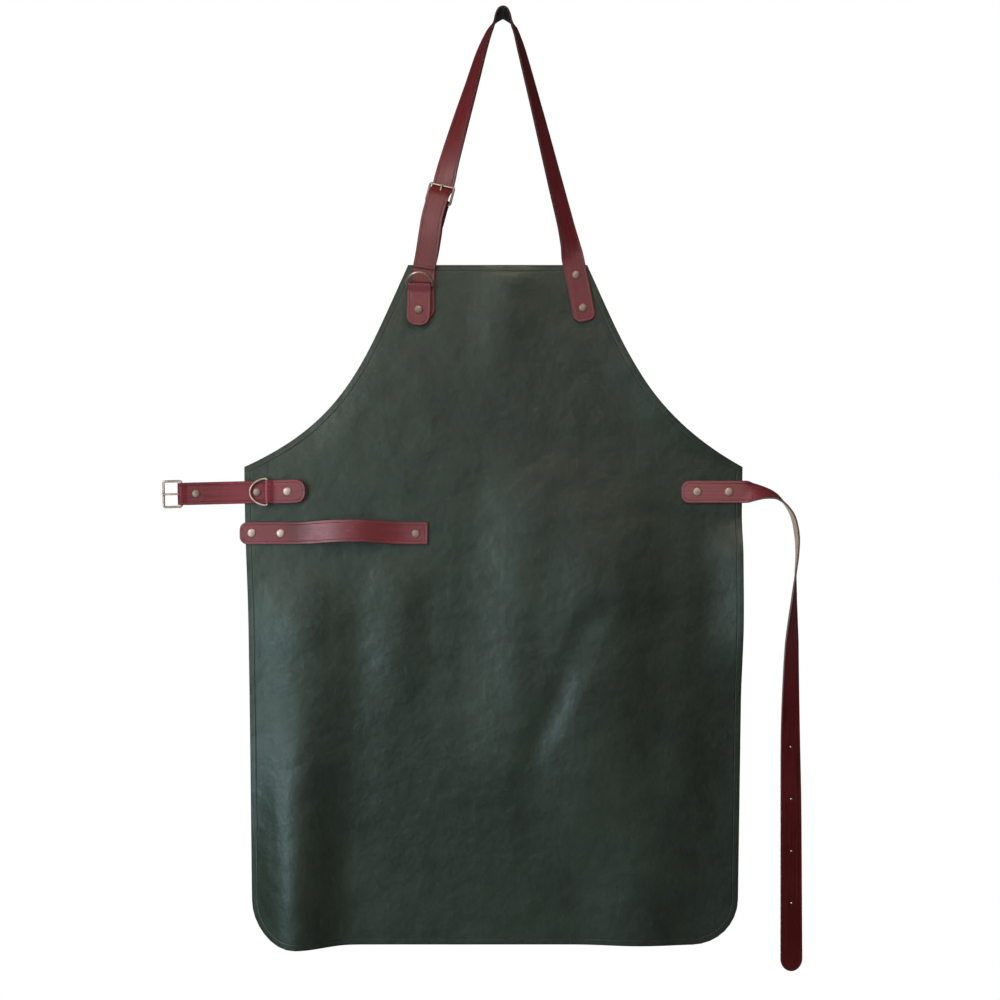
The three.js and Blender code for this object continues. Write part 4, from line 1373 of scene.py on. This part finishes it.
def fill_strap_flesh(sheet, rgb):
    """The back of the straps: fibrous and a little soiled."""
    fibre = sheet.noise(sheet.flat((160.0, 900.0, 1.0)), 1.0, 4.0, 0.7)
    soil = sheet.patches(sheet.place(), 18.0)
    share = sheet.math("ADD", sheet.times(soil, 0.5), sheet.times(fibre, 0.5))
    base = sheet.blend(share, [0.6 * value for value in rgb], rgb)
    sheet.feed(Base_Color=base, Roughness=0.85, Specular_IOR_Level=0.15, Normal=sheet.bump(fibre, 0.00025))


def fill_plate(sheet, least, most, polish):
    """Nickel plate, finely scratched, whose share of tarnish differs in patches."""
    finish = bpy.context.scene.apron_finish
    place = sheet.place()
    tone = sheet.patches(place, 120.0)
    scuffs = sheet.group("Scuffs", Vector=place, Density=420.0)["Mask"]
    base = sheet.blend(sheet.spread(tone, 0.0, 1.0, least, most), finish.nickel, finish.tarnish)
    rough = sheet.spread(tone, 0.0, 1.0, polish, polish + 0.15)
    rough = sheet.math("ADD", rough, sheet.times(scuffs, 0.12))
    sheet.feed(Base_Color=base, Metallic=0.75, Roughness=rough, Normal=sheet.bump(scuffs, 0.00002))


def once(fill, name, *values):
    """The material of that name, made and filled the first time that it is asked for."""
    if name not in bpy.data.materials:
        fill(MaterialSheet(name), *values)
    return bpy.data.materials[name]


def hide_materials():
    finish = bpy.context.scene.apron_finish
    return [
        once(fill_hide_grain, "hide_grain"),
        once(fill_hide_flesh, "hide_flesh"),
        once(fill_edge, "hide_edge", finish.hide_edge),
    ]


def strap_materials(node):
    """Grain, flesh side and edge: the neck's backs are painted near black as shade, and the waist's straps
    are oily.
    """
    finish = bpy.context.scene.apron_finish
    grain = "strap_grain_oiled" if node.startswith("waist_strap") else "strap_grain"
    # The neck pieces' flesh side gets the near-black colour that paints the shade inside the loop.
    flesh = "strap_worn" if node.startswith("neck") else "strap_flesh"
    edge = "strap_raw" if node == "waist_strap_long" else "strap_edge"
    return [
        once(fill_strap_grain, grain, STRAP_SPECULAR[grain]),
        once(fill_strap_flesh, flesh, getattr(finish, flesh)),
        once(fill_edge, edge, getattr(finish, edge)),
    ]


def plate(name):
    return once(fill_plate, name, *PLATES[name])


# Stage

LIGHTS = [
    {"name": "window high", "place": (-1.0, -1.0, -0.18), "aim": (0, 0, -0.31), "size": (0.45, 0.7),
     "watts": 9.4, "colour": (1.0, 0.94, 0.86)},
    {"name": "window low", "place": (-1.0, -1.0, -0.88), "aim": (0, 0, -1.01), "size": (0.45, 0.7),
     "watts": 9.2, "colour": (0.62, 0.86, 1.0)},
    {"name": "right", "place": (0.9, -1.3, -0.2), "aim": (0.3, 0, -0.5), "size": (0.35, 0.6),
     "watts": 1.2, "colour": (1.0, 0.9, 0.9)},
    {"name": "overhead", "place": (0.05, -1.1, 0.6), "aim": (0.03, 0, -0.45), "size": (0.8, 0.4),
     "watts": 11.8, "colour": (1.0, 0.82, 0.72)},
    {"name": "front", "place": (-0.14, -3.0, -0.50), "aim": (-0.05, 0, -0.55), "size": (0.4, 0.6),
     "watts": 5.4, "colour": (1.0, 0.97, 0.98)},
    {"name": "behind", "place": (0, 1.6, -1.3), "aim": (0, 0, -0.60), "size": (1.4, 0.5),
     "watts": 24.0, "colour": (1.0, 0.98, 0.95)},
]
FILL = 0.05
BACKDROP = 1.0
FLOOR_PAINT = (0.82, 0.82, 0.81, 1)
FLOOR_ROUGHNESS = 0.8
FLOOR_GLOW = 0.6
FLOOR_SIDES = 96
WHITE = (1, 1, 1, 1)


def fill_floor(sheet):
    """Pale paint that glows for the camera alone."""
    seen = sheet.add("ShaderNodeLightPath").outputs["Is Camera Ray"]
    sheet.feed(Base_Color=FLOOR_PAINT, Roughness=FLOOR_ROUGHNESS)
    sheet.feed(Emission_Color=WHITE, Emission_Strength=sheet.times(seen, FLOOR_GLOW))


class APRON_OT_stage(bpy.types.Operator):
    """Set up the camera, the floor and the light"""

    bl_idname = "apron.stage"
    bl_label = "Stage"

    def execute(self, context):
        stage = context.scene.apron_stage
        self.set_camera(context, stage)
        self.lay_floor(stage)
        for row in LIGHTS:
            self.hang_light(row)
        self.light_room(context)
        context.scene.view_settings.view_transform = "Standard"
        return {"FINISHED"}

    def set_camera(self, context, stage):
        data = bpy.data.cameras.new("camera")
        data.lens = data.sensor_width * stage.distance / stage.frame_width
        camera = add_object("camera", data)
        camera.location = (stage.aim_x, -stage.distance, stage.aim_z)
        camera.rotation_euler = (math.pi / 2, 0, 0)
        context.scene.camera = camera

    def lay_floor(self, stage):
        bm = bmesh.new()
        bmesh.ops.create_circle(
            bm, cap_ends=True, segments=FLOOR_SIDES, radius=stage.floor_radius,
            matrix=Matrix.Translation((0, 0, stage.floor_drop)),
        )
        floor = add_mesh("floor", bm, [once(fill_floor, "floor_paint")])

    def hang_light(self, row):
        data = bpy.data.lights.new(row["name"], "AREA")
        data.shape = "RECTANGLE"
        data.size, data.size_y = row["size"]
        data.energy = row["watts"]
        data.color = row["colour"]
        light = add_object(row["name"], data)
        light.location = row["place"]
        light.rotation_euler = (Vector(row["aim"]) - light.location).to_track_quat("-Z", "Y").to_euler()

    def light_room(self, context):
        """A white backdrop for the camera, and a dimmer room for everything else."""
        world = bpy.data.worlds.new("room")
        world.use_nodes = True
        sheet = Sheet(world.node_tree)
        seen = sheet.add("ShaderNodeLightPath").outputs["Is Camera Ray"]
        room = sheet.add("ShaderNodeBackground", {"Color": WHITE, "Strength": FILL})
        backdrop = sheet.add("ShaderNodeBackground", {"Color": WHITE, "Strength": BACKDROP})
        mixed = sheet.add("ShaderNodeMixShader", {0: seen, 1: room.outputs[0], 2: backdrop.outputs[0]})
        sheet.add("ShaderNodeOutputWorld", {"Surface": mixed.outputs[0]})
        context.scene.world = world


# Add-on

PIECES = [
    APRON_OT_stage, APRON_OT_panel, APRON_OT_neck_straps, APRON_OT_waist_straps, APRON_OT_ring_tabs,
    APRON_OT_towel_strap, APRON_OT_buckles, APRON_OT_rings, APRON_OT_rivets,
]
SETTINGS = {
    "apron_panel": PanelSizes,
    "apron_straps": StrapSizes,
    "apron_metal": MetalSizes,
    "apron_finish": Finishes,
    "apron_stage": StageSizes,
}


class APRON_PT_sidebar(bpy.types.Panel):
    """Lists the apron's pieces and their sizes"""

    bl_idname = "APRON_PT_sidebar"
    bl_label = "Leather Apron"
    bl_space_type = "VIEW_3D"
    bl_region_type = "UI"
    bl_category = "Apron"

    def draw(self, context):
        for piece in PIECES:
            self.layout.operator(piece.bl_idname)
        for name, group in SETTINGS.items():
            box = self.layout.box()
            for setting in group.__annotations__:
                box.prop(getattr(context.scene, name), setting)


CLASSES = [*SETTINGS.values(), *PIECES, APRON_PT_sidebar]


def register():
    for made in CLASSES:
        bpy.utils.register_class(made)
    for name, group in SETTINGS.items():
        setattr(bpy.types.Scene, name, PointerProperty(type=group))


def unregister():
    for name in SETTINGS:
        delattr(bpy.types.Scene, name)
    for made in reversed(CLASSES):
        bpy.utils.unregister_class(made)


def main():
    register()
    bpy.ops.apron.stage()
    bpy.ops.apron.panel()
    bpy.ops.apron.neck_straps()
    bpy.ops.apron.waist_straps()
    bpy.ops.apron.ring_tabs()
    bpy.ops.apron.towel_strap()
    bpy.ops.apron.buckles()
    bpy.ops.apron.rings()
    bpy.ops.apron.rivets()


if __name__ == "__main__":
    main()
